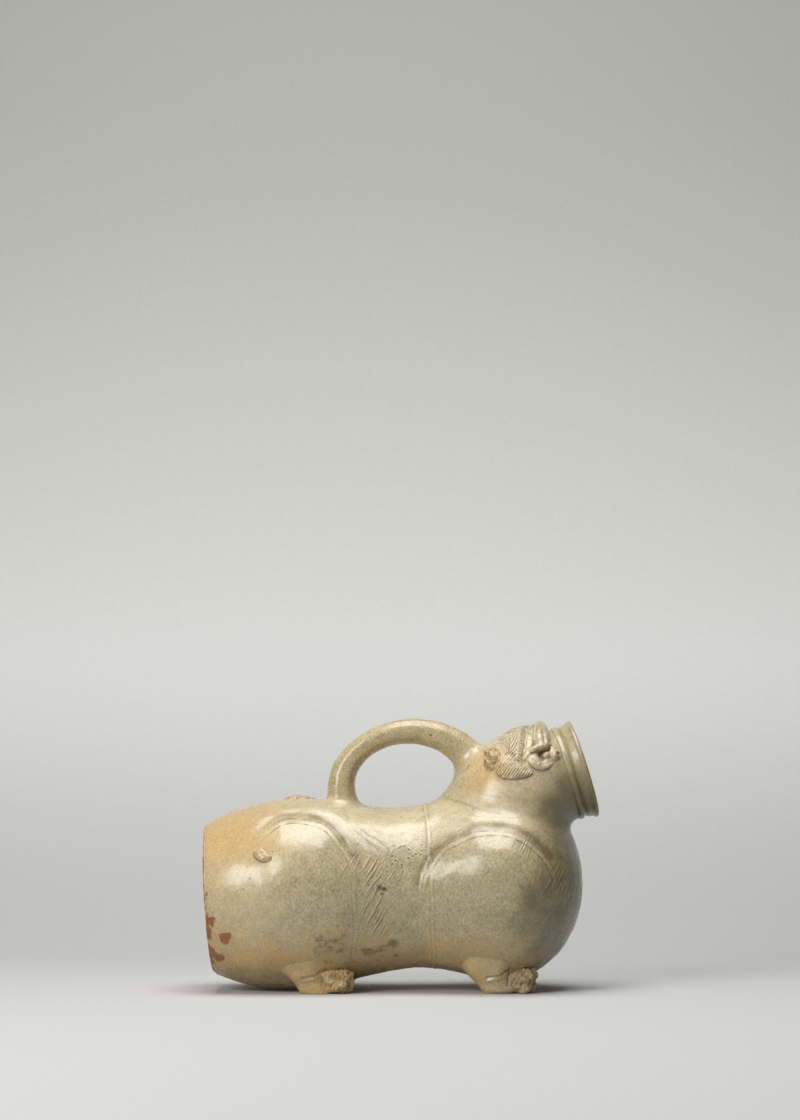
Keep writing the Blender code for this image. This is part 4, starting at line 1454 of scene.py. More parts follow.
@dataclass
class BentNeck(Applied):
    """Neck of round sections that swing about a bend over the chest, and the turned rim of its mouth."""

    body: ThrownBody
    throat_angle: float = math.radians(26.2)
    throat_fillet: float = 8.0 * MM
    throat_bite: float = 1.2 * MM
    throat_swing: float = math.radians(50.0)
    throat_room: float = 1.2 * MM
    throat_overlap: float = 0.8 * MM
    mouth_tilt: float = math.radians(17.5)
    nape_swing: float = math.radians(75.0)
    end_swing: float = math.radians(100.0)
    collar: float = 28.4 * MM
    nape: float = 38.5 * MM
    wall: float = 5.5 * MM
    skirt_swing: float = math.radians(62.0)
    skirt_flare: float = 2.5 * MM
    rim_length: float = 12.7 * MM
    lip_radius: float = 30.9 * MM
    lip_thickness: float = 3.6 * MM
    lip_round: float = 1.2 * MM
    flange: float = 6.9 * MM
    flange_step: float = 1.9 * MM
    flange_hollow: float = 0.6
    groove_at: float = 8.1 * MM
    groove: float = 0.9 * MM
    bead_at: float = 10.6 * MM
    bead: float = 0.9 * MM
    columns: int = 320
    rows: tuple[int, int] = (112, 22)
    inside_rows: int = 26
    nape_foot: float = 11.0 * MM
    throat_foot: float = 3.0 * MM

    def __post_init__(self) -> None:
        """Works out the bend that the sections swing about."""
        body = self.body
        cos, sin = math.cos(self.throat_angle), math.sin(self.throat_angle)
        dome = np.array([body.dome * cos, body.chest_radius * sin])
        outward = np.array([cos / body.dome, sin / body.chest_radius])
        offset = dome + outward / np.linalg.norm(outward) * (self.throat_fillet - self.throat_bite)
        self.bend = body.placed(np.array(body.chest + offset[0]), np.array(0.0), np.array(offset[1]))

    def radius(self, swing: Grid) -> Grid:
        """Outer radius of the section at a swing.

        Args:
            swing: Swings of the sections.

        Returns:
            The radius at each.
        """
        share = np.clip((swing - self.mouth_tilt) / (self.nape_swing - self.mouth_tilt), 0.0, 1.0)
        flare = ease((swing - self.skirt_swing) / (self.end_swing - self.skirt_swing))
        swell = (self.nape - self.collar) * np.sin(0.5 * np.pi * share)
        return self.collar + swell + self.skirt_flare * flare

    def point(self, start: Grid, roll: Grid, lift: Grid) -> Grid:
        """Points over the skin at a swing and a roll, which is 0 at the crown.

        Args:
            start: Swing of each point.
            roll: Roll of each point.
            lift: Height of each point over the skin.

        Returns:
            The points.
        """
        radius = self.radius(start)
        reach = radius + lift
        out = self.throat_fillet + radius + reach * np.cos(roll)
        x = self.bend[0] - out * np.sin(start)
        z = self.bend[2] + out * np.cos(start)
        return as_points(x, -reach * np.sin(roll), z)

    def scale(self, start: Grid, roll: Grid) -> Grids:
        """Metres per radian of swing, counted back from the mouth, and per radian of roll."""
        radius = self.radius(np.asarray(start))
        return -(self.throat_fillet + radius * (1.0 + np.cos(roll))), radius

    def gap(self, points: Grid) -> Grid:
        """Distance of points over the skin.

        Args:
            points: Places in space.

        Returns:
            The distance of each.
        """
        x = points[..., 0] - self.bend[0]
        z = points[..., 2] - self.bend[2]
        swing = np.arctan2(-x, z)
        radius = self.radius(np.clip(swing, self.mouth_tilt, self.end_swing))
        return np.hypot(np.hypot(x, z) - self.throat_fillet - radius, points[..., 1]) - radius

    def seen(self, x: Grid, z: Grid) -> Grids:
        """Swing and roll of places on the right that are given as they are seen from the side.

        Args:
            x: Places along the vessel.
            z: Their heights.

        Returns:
            Swing and roll of each.
        """
        ahead, up = x - self.bend[0], z - self.bend[2]
        swing = np.arctan2(-ahead, up)
        share = (np.hypot(ahead, up) - self.throat_fillet) / self.radius(swing) - 1.0
        return swing, np.arccos(np.clip(share, -0.999, 0.999))

    def over(self, x: Grid, aside: Grid) -> Grids:
        """Swing and roll of places given by X and by the length round from the crown.

        Args:
            x: Places along the vessel.
            aside: Lengths round from the crown.

        Returns:
            Swing and roll of each.
        """
        swing = np.full(np.shape(x), 0.5)
        for _ in range(16):
            radius = self.radius(swing)
            out = self.throat_fillet + radius * (1.0 + np.cos(aside / radius))
            swing = np.arcsin(np.clip((self.bend[0] - x) / out, -0.99, 0.99))
        return swing, -aside / self.radius(swing)

    def bore_cutter(self) -> Object:
        """Solid that opens the chest under the neck, a little wider than the bore.

        Returns:
            The solid.
        """
        rolls = full_turn(72)[None, :]
        swings = np.linspace(self.throat_swing, self.end_swing + 0.1, 24)[:, None]
        points = self.point(swings, rolls, np.full((1, 1), self.throat_room - self.wall))
        return linked("throat_cutter", Sheet(points).mesh("throat_cutter"))

    def tube(self, finishes: Finishes, hollows: Callable[[Grid], Grid]) -> None:
        """Neck with a luted foot on the body.

        Args:
            finishes: The vessel's finishes.
            hollows: Depth of what is pressed into the skin at points.
        """
        rolls = full_turn(self.columns)[None, :]
        swings = np.linspace(self.mouth_tilt - 0.004, self.end_swing + 0.15, 260)[:, None]
        plain = self.point(swings, rolls, np.zeros((1, 1)))
        depth = hollows(plain) + CREASE_DEPTH * LUTING_CREASE.on(plain)
        lines = plain + self.normal(plain) * (uneven(plain) - depth)[..., None]
        reach = self.throat_foot + (self.nape_foot - self.throat_foot) * (0.5 + 0.5 * np.cos(rolls[0]))
        outside = luted(lines, self.body, reach, self.rows)
        inner = self.point(swings, rolls, np.full((1, 1), -self.wall))
        gaps = self.body.gap(inner)
        deep = gaps < -(self.body.wall + self.throat_overlap)
        last = np.where(deep.any(axis=0), deep.argmax(axis=0), len(inner) - 1)
        lengths = walked(inner)
        ends = lengths[last, np.arange(self.columns)]
        inside = resampled(inner, lengths, np.linspace(1.0, 0.0, self.inside_rows)[:, None] * ends[None, :])
        points = np.concatenate([outside, inside])
        groove = np.zeros(points.shape[:2])
        groove[: len(outside)] = np.clip(hollows(outside) / MM - 0.4, 0.0, 1.0)
        groove[: len(outside)] += CREASE_POOL * LUTING_CREASE.on(outside)
        sheet = Sheet(points, {"groove": groove}, looped=True)
        settle(sheet.mesh("neck"), "glazed_neck", finishes.olive, "neck")

    def rim_outline(self) -> Grid:
        """Points (station, radius) of the rim's section: bead, groove and flange outside, dish inside.

        Returns:
            The points in order.
        """
        collar, lip, curl = self.collar, self.lip_radius, self.lip_round
        bore, inner = collar - self.wall, lip - self.lip_thickness
        joint, groove, bead = -self.rim_length, -self.groove_at, -self.bead_at
        step = lip - self.flange_step
        outside = [
            (joint - 0.5 * MM, collar - 0.6 * MM),
            (joint, collar - 0.35 * MM),
            (joint + 0.35 * MM, collar + 0.2 * MM),
            (bead - 1.1 * MM, collar + 0.9 * self.bead),
            (bead, collar + self.bead),
            (bead + 1.1 * MM, collar + 0.9 * self.bead),
            (groove - 0.5 * MM, step - 0.6 * self.groove),
            (groove, step - self.groove),
            (groove + 0.4 * MM, step - 0.8 * self.groove),
            (-self.flange - 0.1 * MM, step - 0.25 * self.groove),
            (-self.flange + 0.5 * MM, step + 0.1 * MM),
            (-0.5 * self.flange, lip - self.flange_hollow * self.flange_step),
            (-curl - 0.9 * MM, lip - 0.12 * MM),
            (-curl - 0.3 * MM, lip),
        ]
        knots = list(np.arange(len(outside), dtype=float))
        smooth = np.linspace(0.0, len(outside) - 1.0, 5 * len(outside))
        xs, rs = ([flow(knots, list(values), smooth)] for values in zip(*outside))
        turn = quarter_turn(7)
        xs += [-curl + curl * np.sin(turn), -curl + curl * np.sin(turn[::-1])]
        rs += [lip - curl + curl * np.cos(turn), inner + curl - curl * np.cos(turn[::-1])]
        xs.append(np.array([-2.4 * MM, -4.2 * MM, -self.flange, -9.0 * MM, joint, joint - 0.5 * MM]))
        dish = [inner, 0.45 * inner + 0.55 * bore, bore]
        rs += [flow([0.0, 0.5, 1.0], dish, np.linspace(0.12, 1.0, 4)), np.array([bore, bore])]
        return np.stack([np.concatenate(xs), np.concatenate(rs)], axis=-1)

    def rim(self, finishes: Finishes) -> None:
        """Turned ring round the mouth.

        Args:
            finishes: The vessel's finishes.
        """
        outline = self.rim_outline()
        rolls = full_turn(self.columns)[None, :]
        along, reach = outline[:, :1], outline[:, 1:]
        centre = self.throat_fillet + self.collar
        out = centre + reach * np.cos(rolls)
        ahead = along + self.rim_length
        cos, sin = math.cos(self.mouth_tilt), math.sin(self.mouth_tilt)
        x = self.bend[0] - out * sin + ahead * cos
        z = self.bend[2] + out * cos + ahead * sin
        points = as_points(x, -reach * np.sin(rolls), z)
        across = unit(points - points.mean(axis=1, keepdims=True))
        points = points + across * (0.7 * uneven(points))[..., None]
        groove = ridge(along + self.groove_at, 0.7 * MM)
        groove = np.maximum(groove, ridge(along + self.rim_length, 0.6 * MM))
        groove = np.maximum(groove, 0.4 * ridge(along + self.bead_at, 0.4 * MM))
        groove = 1.3 * groove * (reach > self.collar - 1.5 * MM)
        # Painted shade: the lip's edge is darkened all round with the pooled glaze's colour.
        lip = ridge(along, 0.45 * MM) * 0.8
        values = {"groove": np.broadcast_to(np.maximum(0.55 * groove, lip), points.shape[:2])}
        sheet = Sheet(points, values, looped=True)
        settle(sheet.mesh("mouth_rim"), "turned_mouth_rim", finishes.olive, "mouth_rim")


@dataclass
class SideView(Applied):
    """The neck's right side as it is seen from the side: places are given by X and Z."""

    neck: BentNeck

    def point(self, start: Grid, roll: Grid, lift: Grid) -> Grid:
        """Points over the neck."""
        return self.neck.point(start, roll, lift)

    def scale(self, start: Grid, roll: Grid) -> Grids:
        """Metres per unit on the neck."""
        return self.neck.scale(start, roll)

    def gap(self, points: Grid) -> Grid:
        """Distance of points over the neck."""
        return self.neck.gap(points)

    def walk(self, place: Triple, along: Grid, across: Grid) -> Grids:
        """Moves from a place, given by X, Z and turn, in the plane of the side view.

        Args:
            place: X, Z and turn of the place.
            along: Lengths along the piece.
            across: Lengths across it.

        Returns:
            Swing and roll of the new places.
        """
        x, z, turn = place
        ahead = along * math.cos(turn) - across * math.sin(turn)
        up = along * math.sin(turn) + across * math.cos(turn)
        return self.neck.seen(x + ahead, z + up)


@dataclass
class CrownView(SideView):
    """The neck's crown as it is seen from above: places are given by X and the length round the crown."""

    def walk(self, place: Triple, along: Grid, across: Grid) -> Grids:
        """Moves from a place along X and round the crown."""
        return self.neck.over(place[0] + along, across)


@dataclass
class StrapHandle:
    """Arched strap from the back to the nape, luted at both ends."""

    body: ThrownBody
    neck: BentNeck
    reach: float = 36.8 * MM
    swing: float = math.radians(65.5)
    bite: float = 20.7 * MM
    rise: float = 34.5 * MM
    thickness: float = 14.2 * MM
    width: float = 18.0 * MM
    back_flare: float = 2.0 * MM
    nape_flare: float = 8.0 * MM
    side_flare: float = 3.0 * MM
    corner: float = 0.72
    overrun: float = -0.12
    solid_rings: float = 27.0
    solid_limb_rings: float = 4.0
    scoring: float = 1.7 * MM
    relief: float = 0.3 * MM
    back_foot: float = 4.0 * MM
    nape_foot: float = 6.0 * MM
    under_foot: float = 3.0 * MM
    speck: FlankMark = Patch(17.5, 156.0, 0.9, 0.7)
    crack: FlankMark = Stroke((mm(32.8, 125.2), mm(41.0, 137.0)), 0.9 * MM)
    rows: tuple[int, int] = (90, 16)
    columns: int = 96
    limb_rings: int = 40
    arch_rings: int = 240

    def lines(self) -> Grid:
        """Grid of the plain strap, rows from inside the back over to inside the nape.

        Returns:
            The grid.
        """
        back = self.body.point(np.array(self.body.waist - self.reach), np.array(0.0), np.array(0.0))
        front = self.neck.point(np.array(self.swing), np.array(0.0), np.array(-self.bite))
        half = 0.5 * (front[0] - back[0])
        limb = np.linspace(back[2] - self.body.wall, front[2], self.limb_rings)[:-1]
        turn = np.linspace(np.pi, self.overrun, self.arch_rings)
        x = np.concatenate([np.full(len(limb), back[0]), back[0] + half + half * np.cos(turn)])
        z = np.concatenate([limb, front[2] + self.rise * np.sin(turn)])
        out_x = np.concatenate([np.full(len(limb), -1.0), np.cos(turn) / half])
        out_z = np.concatenate([np.zeros(len(limb)), np.sin(turn) / self.rise])
        outward = unit(np.stack([out_x, np.zeros(len(x)), out_z], axis=-1))
        middle = np.stack([x, np.zeros(len(x)), z], axis=-1)
        rings = [np.linspace(0.0, self.solid_limb_rings, len(limb))]
        rings.append(np.linspace(self.solid_limb_rings, self.solid_rings, len(turn)))
        share = (2.0 * np.concatenate(rings) / self.solid_rings - 1.0)[:, None]
        flare = np.where(share < 0.0, self.back_flare, self.nape_flare) * share * share
        thick = 0.5 * self.thickness + flare
        wide = 0.5 * self.width + self.side_flare * share * share
        turns = full_turn(self.columns)[None, :]
        cos, sin = np.cos(turns), np.sin(turns)
        square_cos = np.sign(cos) * np.abs(cos) ** self.corner
        square_sin = np.sign(sin) * np.abs(sin) ** self.corner
        points = (middle - outward * flare)[:, None] + outward[:, None] * (thick * square_cos)[..., None]
        points[..., 1] += wide * square_sin
        return points

    def build(self, finishes: Finishes) -> None:
        """Strap with its two luted feet.

        Args:
            finishes: The vessel's finishes.
        """
        lines = self.lines()
        centre = lines.mean(axis=1, keepdims=True)
        turns = full_turn(self.columns)
        length = walked(centre)
        front_half = ease((length - 0.42 * length.max()) / (0.12 * length.max()))
        outer = ease((np.cos(turns) + 0.2) / 0.7)
        twist = np.sin(2.0 * np.pi * (length + 0.35 * self.width * np.sin(turns)) / self.scoring)
        bands = np.cos(4.0 * turns) - 0.6 * ridge(np.abs(np.sin(turns)) - 0.75, 0.12)
        cuts = np.clip(twist, 0.0, 1.0) * outer * front_half
        relief = 1.4 * uneven(lines) + self.relief * bands - self.relief * cuts
        lines = lines + unit(lines - centre) * relief[..., None]
        top = int(0.55 * len(lines))
        under = self.under_foot * (0.5 - 0.5 * np.cos(turns))
        rear = luted(lines[top::-1], self.body, self.back_foot + under, self.rows)
        front = luted(lines[top:], Joined([self.neck, self.body]), self.nape_foot + under, self.rows)
        points = np.concatenate([rear[::-1], front[1:]])
        right = points[..., 1] < 0.0
        values = {"groove": self.crack.on(points) * right, "stain": self.speck.on(points) * right}
        sheet = Sheet(points, values)
        settle(sheet.mesh("handle"), "strap_handle", finishes.buff, "handle")


def oval(length: float, width: float, count: int, squareness: float = 2.0) -> Grid:
    """Points of a rounded outline, boxier with more squareness.

    Args:
        length: Whole length.
        width: Whole width.
        count: Number of points.
        squareness: 2 for an ellipse, more for a box.

    Returns:
        The points.
    """
    turn = full_turn(count)
    x, y = np.cos(turn), np.sin(turn)
    along = np.sign(x) * np.abs(x) ** (2.0 / squareness)
    across = np.sign(y) * np.abs(y) ** (2.0 / squareness)
    return np.stack([0.5 * length * along, 0.5 * width * across], axis=-1)


def leaf(length: float, width: float, count: int, point: float = 0.4) -> Grid:
    """Points of a leaf outline, blunt at the back and drawn to a tip in front.

    Args:
        length: Whole length.
        width: Whole width.
        count: Number of points.
        point: How far the tip is drawn out.

    Returns:
        The points.
    """
    turn = full_turn(count)
    across = np.sin(turn) * (1.0 - point * np.cos(turn))
    return np.stack([0.5 * length * np.cos(turn), 0.5 * width * across], axis=-1)


Relief = Callable[[Grid, Grid], Grids]


@dataclass
class Pad:
    """Pad of clay pressed on a skin."""

    skin: Applied
    place: Triple
    outline: Grid
    rise: float
    relief: Relief | None = None
    rows: int = 26
    edge: float = 0.3
    sink: float = 0.5 * MM
    depth: float = 1.6 * MM
    shadow: float = 0.0
    bare: float = 0.0

    def sheet(self) -> Sheet:
        """The closed pad: its domed top, a round edge and an underside in the wall below.

        Returns:
            The closed piece.
        """
        shares = np.linspace(0.03, 0.93, self.rows)
        lifts = self.rise * (self.edge + (1.0 - self.edge) * np.cos(0.5 * np.pi * shares))
        turn = quarter_turn(7)[1:]
        edge_shares = 0.93 + 0.07 * np.sin(turn)
        edge_lifts = (lifts[-1] + self.sink) * np.cos(turn) - self.sink
        under = np.linspace(1.0, 0.03, 7)
        share = np.concatenate([shares, edge_shares, under])[:, None]
        lift = np.concatenate([lifts, edge_lifts, np.full(len(under), -self.depth)])[:, None]
        along = share * self.outline[None, :, 0]
        across = share * self.outline[None, :, 1]
        start, roll = self.skin.walk(self.place, along, across)
        plain = self.skin.point(start, roll, np.zeros(1))
        groove = np.zeros(along.shape)
        height = np.broadcast_to(lift, along.shape).copy()
        if self.relief is not None:
            raised, pooled = self.relief(along, across)
            top = np.zeros((len(share), 1))
            top[: self.rows] = ease((1.0 - shares[:, None]) / 0.1)
            height += raised * top
            groove = pooled * top
        below = ease(-across / (0.5 * np.abs(self.outline[:, 1]).max()))
        groove = np.maximum(groove, self.shadow * below * ease((share - 0.88) / 0.06))
        height[: -len(under)] += pressed(plain)[: -len(under)]
        bare = np.full(along.shape, self.bare)
        return Sheet(self.skin.point(start, roll, height), {"groove": groove, "bare": bare})


@dataclass
class Ribbon:
    """Curled ridge of clay along a path on a skin."""

    skin: Applied
    place: Triple
    path: Line
    width: float
    rise: float
    tips: Pair = (0.4, 0.4)
    rows: int = 72
    columns: int = 28

    def sheet(self) -> Sheet:
        """The closed ridge, thin at both ends, with painted shadow along its lower foot.

        Returns:
            The closed piece.
        """
        share = np.linspace(0.0, 1.0, self.rows)
        knots = list(np.linspace(0.0, 1.0, len(self.path)))
        line = np.stack([flow(knots, list(values), share) for values in zip(*self.path)], axis=-1)
        run = unit(np.gradient(line, axis=0))
        full = flow([0.0, 0.3, 0.6, 1.0], [self.tips[0], 1.0, 1.0, self.tips[1]], share)
        full = (full * np.sqrt(np.clip(1.0 - np.abs(2.0 * share - 1.0) ** 8, 0.02, 1.0)))[:, None]
        around = full_turn(self.columns)[None, :]
        offset = 0.5 * self.width * full * np.cos(around)
        along = line[:, :1] - offset * run[:, 1:]
        across = line[:, 1:] + offset * run[:, :1]
        over = np.sin(around)
        lift = np.where(over > 0.0, over * self.rise * full, over * 1.2 * MM) - 0.2 * MM
        start, roll = self.skin.walk(self.place, along, across)
        plain = self.skin.point(start, roll, np.zeros(1))
        # Painted shadow: the ridge's lower foot is darkened with the pooled glaze's colour.
        lower = np.sign(run[:, :1]) * np.cos(around) < -0.75
        groove = 0.8 * lower * (over > -0.2) * (over < 0.5)
        return Sheet(self.skin.point(start, roll, lift + pressed(plain)), {"groove": groove})


@dataclass
class Face:
    """Applied face: nose and forehead over the crown, and a mirrored set of pieces on each side.

    Places on a side are given by X and Z as they are seen from the side, and those on the crown by X.
    """

    neck: BentNeck
    nose_at: float = 86.4 * MM
    nose_roll: float = math.radians(60.0)
    nose_rise: float = 5.2 * MM
    nose_shift: float = -2.2 * MM
    nose_half: Pair = mm(2.5, 6.5)
    forehead_at: float = 68.2 * MM
    forehead_length: float = 26.4 * MM
    forehead_roll: float = math.radians(74.0)
    forehead_rise: float = 1.7 * MM
    fur_patch: float = 8.0 * MM
    fur_spacing: float = 1.9 * MM
    strip_ahead: float = 9.4 * MM
    strip_lean: float = 0.17
    ear_place: Triple = (54.3 * MM, 141.3 * MM, -0.25)
    ear_length: float = 9.4 * MM
    ear_width: float = 14.6 * MM
    ear_rise: float = 3.6 * MM
    ruff_place: Triple = (67.2 * MM, 133.6 * MM, -0.14)
    ruff_length: float = 22.8 * MM
    ruff_width: float = 10.8 * MM
    ruff_rise: float = 2.0 * MM
    rib_spacing: float = 1.5 * MM
    rib_radius: float = 0.56 * MM
    rib_lean: float = 0.55
    nostril_place: Triple = (92.6 * MM, 143.0 * MM, 0.0)
    nostril_size: Pair = mm(6.4, 6.0)
    nostril_rise: float = 3.6 * MM
    eye_place: Triple = (87.8 * MM, 143.4 * MM, 0.1)
    eye_size: Pair = mm(5.4, 3.9)
    eye_rise: float = 2.4 * MM
    hollow: Stroke = Stroke((mm(88.2, 147.0), mm(84.6, 146.1), mm(83.2, 143.8), mm(84.4, 141.2)), 1.25 * MM)
    hollow_depth: float = 2.6 * MM
    brow_width: float = 4.4 * MM
    brow_rise: float = 3.6 * MM
    brow_path: Line = (mm(90.4, 150.2), mm(85.6, 148.6), mm(81.0, 147.0), mm(76.0, 145.0))
    lip_width: float = 4.8 * MM
    lip_rise: float = 2.3 * MM
    lip_path: Line = (
        mm(76.6, 141.6),
        mm(78.2, 138.8),
        mm(81.6, 136.6),
        mm(86.0, 136.0),
        mm(91.0, 138.2),
    )

    def hollows(self, points: Grid) -> Grid:
        """Depth of the two dark crescents behind the eyes."""
        return self.hollow_depth * self.hollow.on(points)

    def fur(self, along: Grid, across: Grid) -> Grids:
        """Scored fur of the forehead, in patches of several directions, and the feathered strip in front.

        Args:
            along: Lengths along the piece.
            across: Lengths across it.

        Returns:
            Height of the relief, and how much glaze pools in it.
        """
        side = np.abs(across)
        score = hatched(along, side, self.fur_patch, self.fur_spacing, 17)
        strip = along - self.strip_ahead + self.strip_lean * side
        behind = ease((-2.2 * MM - strip) / (1.0 * MM)) * ease((along + 11.6 * MM) / (1.6 * MM))
        barbs = np.clip(np.sin(2.0 * np.pi * (side + 1.1 * np.abs(strip)) / (2.1 * MM)), 0.0, 1.0)
        band = ease((2.0 * MM - np.abs(strip)) / (0.5 * MM))
        edge = ridge(np.abs(strip) - 2.3 * MM, 0.5 * MM)
        lift = MM * (0.35 * band + 0.4 * edge - 0.8 * score * behind - 0.6 * barbs * band) + 0.09 * along
        return lift, np.clip((0.12 + score) * behind + band * (0.45 + 0.55 * barbs), 0.0, 1.0)

    def muzzle(self, along: Grid, across: Grid) -> Grids:
        """Crest, crease and leaf hatch of the muzzle block.

        Args:
            along: Lengths along the piece.
            across: Lengths across it.

        Returns:
            Height of the relief, and how much glaze pools in it.
        """
        side = np.abs(across)
        crest = ridge(along + 2.2 * MM + 0.12 * side, 0.9 * MM) * ease((side - 6.0 * MM) / (3.0 * MM))
        crease = ridge(along - 0.3 * MM, 0.9 * MM) * ease((side - 5.0 * MM) / (4.0 * MM))
        hatch = np.clip(np.sin(2.0 * np.pi * (along + 0.8 * side) / (1.4 * MM)), 0.0, 1.0)
        patch = ease((side - 9.0 * MM) / (1.5 * MM)) * ease((22.0 * MM - side) / (1.5 * MM))
        patch = patch * ease((along + 1.4 * MM + 0.12 * side) / (0.8 * MM)) * ease(-along / (0.8 * MM))
        lift = MM * (0.5 * crest - 0.4 * crease - 0.5 * hatch * patch)
        return lift, np.clip(0.4 * crease + 0.7 * hatch * patch, 0.0, 1.0)

    def pooled_and_shaded_ground(self, along: Grid, across: Grid) -> Grids:
        """Dark ground between the ruff's ribs: glaze pooled there, and painted shade."""
        # Partly pooled glaze, partly painted shade between the ribs.
        return np.zeros(along.shape), np.full(across.shape, 0.6)

    def lump(self, along: Grid, across: Grid) -> Grids:
        """Pitted top of a rough lump.

        Args:
            along: Lengths along the piece.
            across: Lengths across it.

        Returns:
            Height of the relief, and how much glaze pools in it.
        """
        where = as_points(along, across, 0.0)
        raised = 0.45 * LUMP.at(where) + 1.5 * CRUMBLE.at(where) + 1.4 * GRAIN.at(where)
        return raised, np.clip(0.25 - raised / (0.6 * MM), 0.0, 1.0)

    def pit(self, along: Grid, across: Grid) -> Grids:
        """Pricked hole of a nostril."""
        hole = ridge(np.hypot(along - 1.7 * MM, across - 0.5 * MM), 0.95 * MM)
        return -2.2 * MM * hole, np.clip(1.8 * hole, 0.0, 1.0)

    def pads(self) -> dict[str, Pad]:
        """Pads of the crown and of the right side.

        Returns:
            Each pad by its name.
        """
        crown, side = CrownView(self.neck), SideView(self.neck)
        nose_wide = self.nose_roll * float(self.neck.radius(np.array(0.4)))
        nose = oval(2.0, 2.0 * nose_wide, 224, 3.6)
        wide = np.abs(nose[:, 1]) / nose_wide
        narrow, broad = self.nose_half
        nose[:, 0] = self.nose_shift * wide + (narrow + (broad - narrow) * wide) * nose[:, 0]
        forehead_wide = self.forehead_roll * float(self.neck.radius(np.array(0.7)))
        forehead = oval(self.forehead_length, 2.0 * forehead_wide, 320, 2.8)
        ear = oval(self.ear_length, self.ear_width, 96, 2.3)
        turn = full_turn(len(ear))
        ear *= (1.0 + 0.08 * np.sin(3.0 * turn) + 0.05 * np.sin(5.0 * turn + 1.0))[:, None]
        ruff = leaf(self.ruff_length, self.ruff_width, 120)
        pellet = oval(*self.nostril_size, 48)
        eye = oval(*self.eye_size, 48, 2.5)
        nose_at, fur_at = (self.nose_at, 0.0, 0.0), (self.forehead_at, 0.0, 0.0)
        return {
            "nose": Pad(crown, nose_at, nose, self.nose_rise, self.muzzle, rows=56, edge=0.6),
            "forehead_pad": Pad(crown, fur_at, forehead, self.forehead_rise, self.fur, rows=96, edge=0.15),
            "ear": Pad(side, self.ear_place, ear, self.ear_rise, self.lump, rows=36, edge=0.1, bare=0.16),
            "ruff": Pad(
                side, self.ruff_place, ruff, self.ruff_rise, self.pooled_and_shaded_ground, rows=30, edge=0.55, shadow=1.0
            ),
            "nostril": Pad(side, self.nostril_place, pellet, self.nostril_rise, self.pit, rows=24, edge=0.2),
            "eye": Pad(side, self.eye_place, eye, self.eye_rise, None, rows=16, edge=0.2),
        }

    def ribbons(self) -> dict[str, Ribbon]:
        """Brow and lip of the right side, which curl round the hollow.

        Returns:
            Each ridge by its name.
        """
        side, origin = SideView(self.neck), (0.0, 0.0, 0.0)
        return {
            "brow": Ribbon(side, origin, self.brow_path, self.brow_width, self.brow_rise, (0.7, 0.7)),
            "lip": Ribbon(side, origin, self.lip_path, self.lip_width, self.lip_rise, (0.7, 0.4)),
        }

    def ruff_ribs(self) -> list[Grid]:
        """Paths of the ribs across the leaf-shaped ruff.

        Returns:
            Points of each path.
        """
        side, paths = SideView(self.neck), []
        reach = 0.5 * self.ruff_length
        for middle in np.arange(-0.93 * reach, 0.95 * reach, self.rib_spacing):
            turn = math.acos(middle / reach)
            half = 0.46 * self.ruff_width * math.sin(turn) * (1.0 - 0.4 * math.cos(turn))
            across = np.linspace(-half, half, 11)
            start, roll = side.walk(self.ruff_place, middle + self.rib_lean * across, across)
            paths.append(side.point(start, roll, np.full(1, self.ruff_rise)))
        return paths

    def build(self, finishes: Finishes) -> None:
        """Builds the crown's pieces, then each side's.

        Args:
            finishes: The vessel's finishes.
        """
        for name, pad in self.pads().items():
            sheet = pad.sheet()
            if name in ("nose", "forehead_pad"):
                settle(sheet.mesh(name), f"modelled_{name}", finishes.buff, name)
                continue
            for side in Side:
                piece = self.side_piece(sheet, side, name, finishes)
                if name == "ruff":
                    self.ribbed(piece, side, finishes)
        for name, ribbon in self.ribbons().items():
            for side in Side:
                self.side_piece(ribbon.sheet(), side, name, finishes)

    def ribbed(self, ruff: Object, side: Side, finishes: Finishes) -> None:
        """Lays the ribs on one ruff.

        Args:
            ruff: The ruff that they lie on.
            side: The ruff's side.
            finishes: The vessel's finishes.
        """
        paths = [path if side is Side.RIGHT else path * OTHER_SIDE for path in self.ruff_ribs()]
        name = f"{side.name.lower()}_ruff_ribs"
        mesh = ClayCords(self.rib_radius).mesh(paths, ruff, finishes.buff, name)
        settle(mesh, name, finishes.buff)

    def side_piece(self, sheet: Sheet, side: Side, name: str, finishes: Finishes) -> Object:
        """Settles one piece of the right side, mirrored for the left.

        Args:
            sheet: The right side's piece.
            side: The side that is made.
            name: The piece's name.
            finishes: The vessel's finishes.

        Returns:
            The piece.
        """
        placed = sheet if side is Side.RIGHT else sheet.mirrored()
        node = f"{side.name.lower()}_{name}"
        finish = finishes.gritty if name == "ear" else finishes.buff
        return settle(placed.mesh(node), f"modelled_{node}", finish, node)


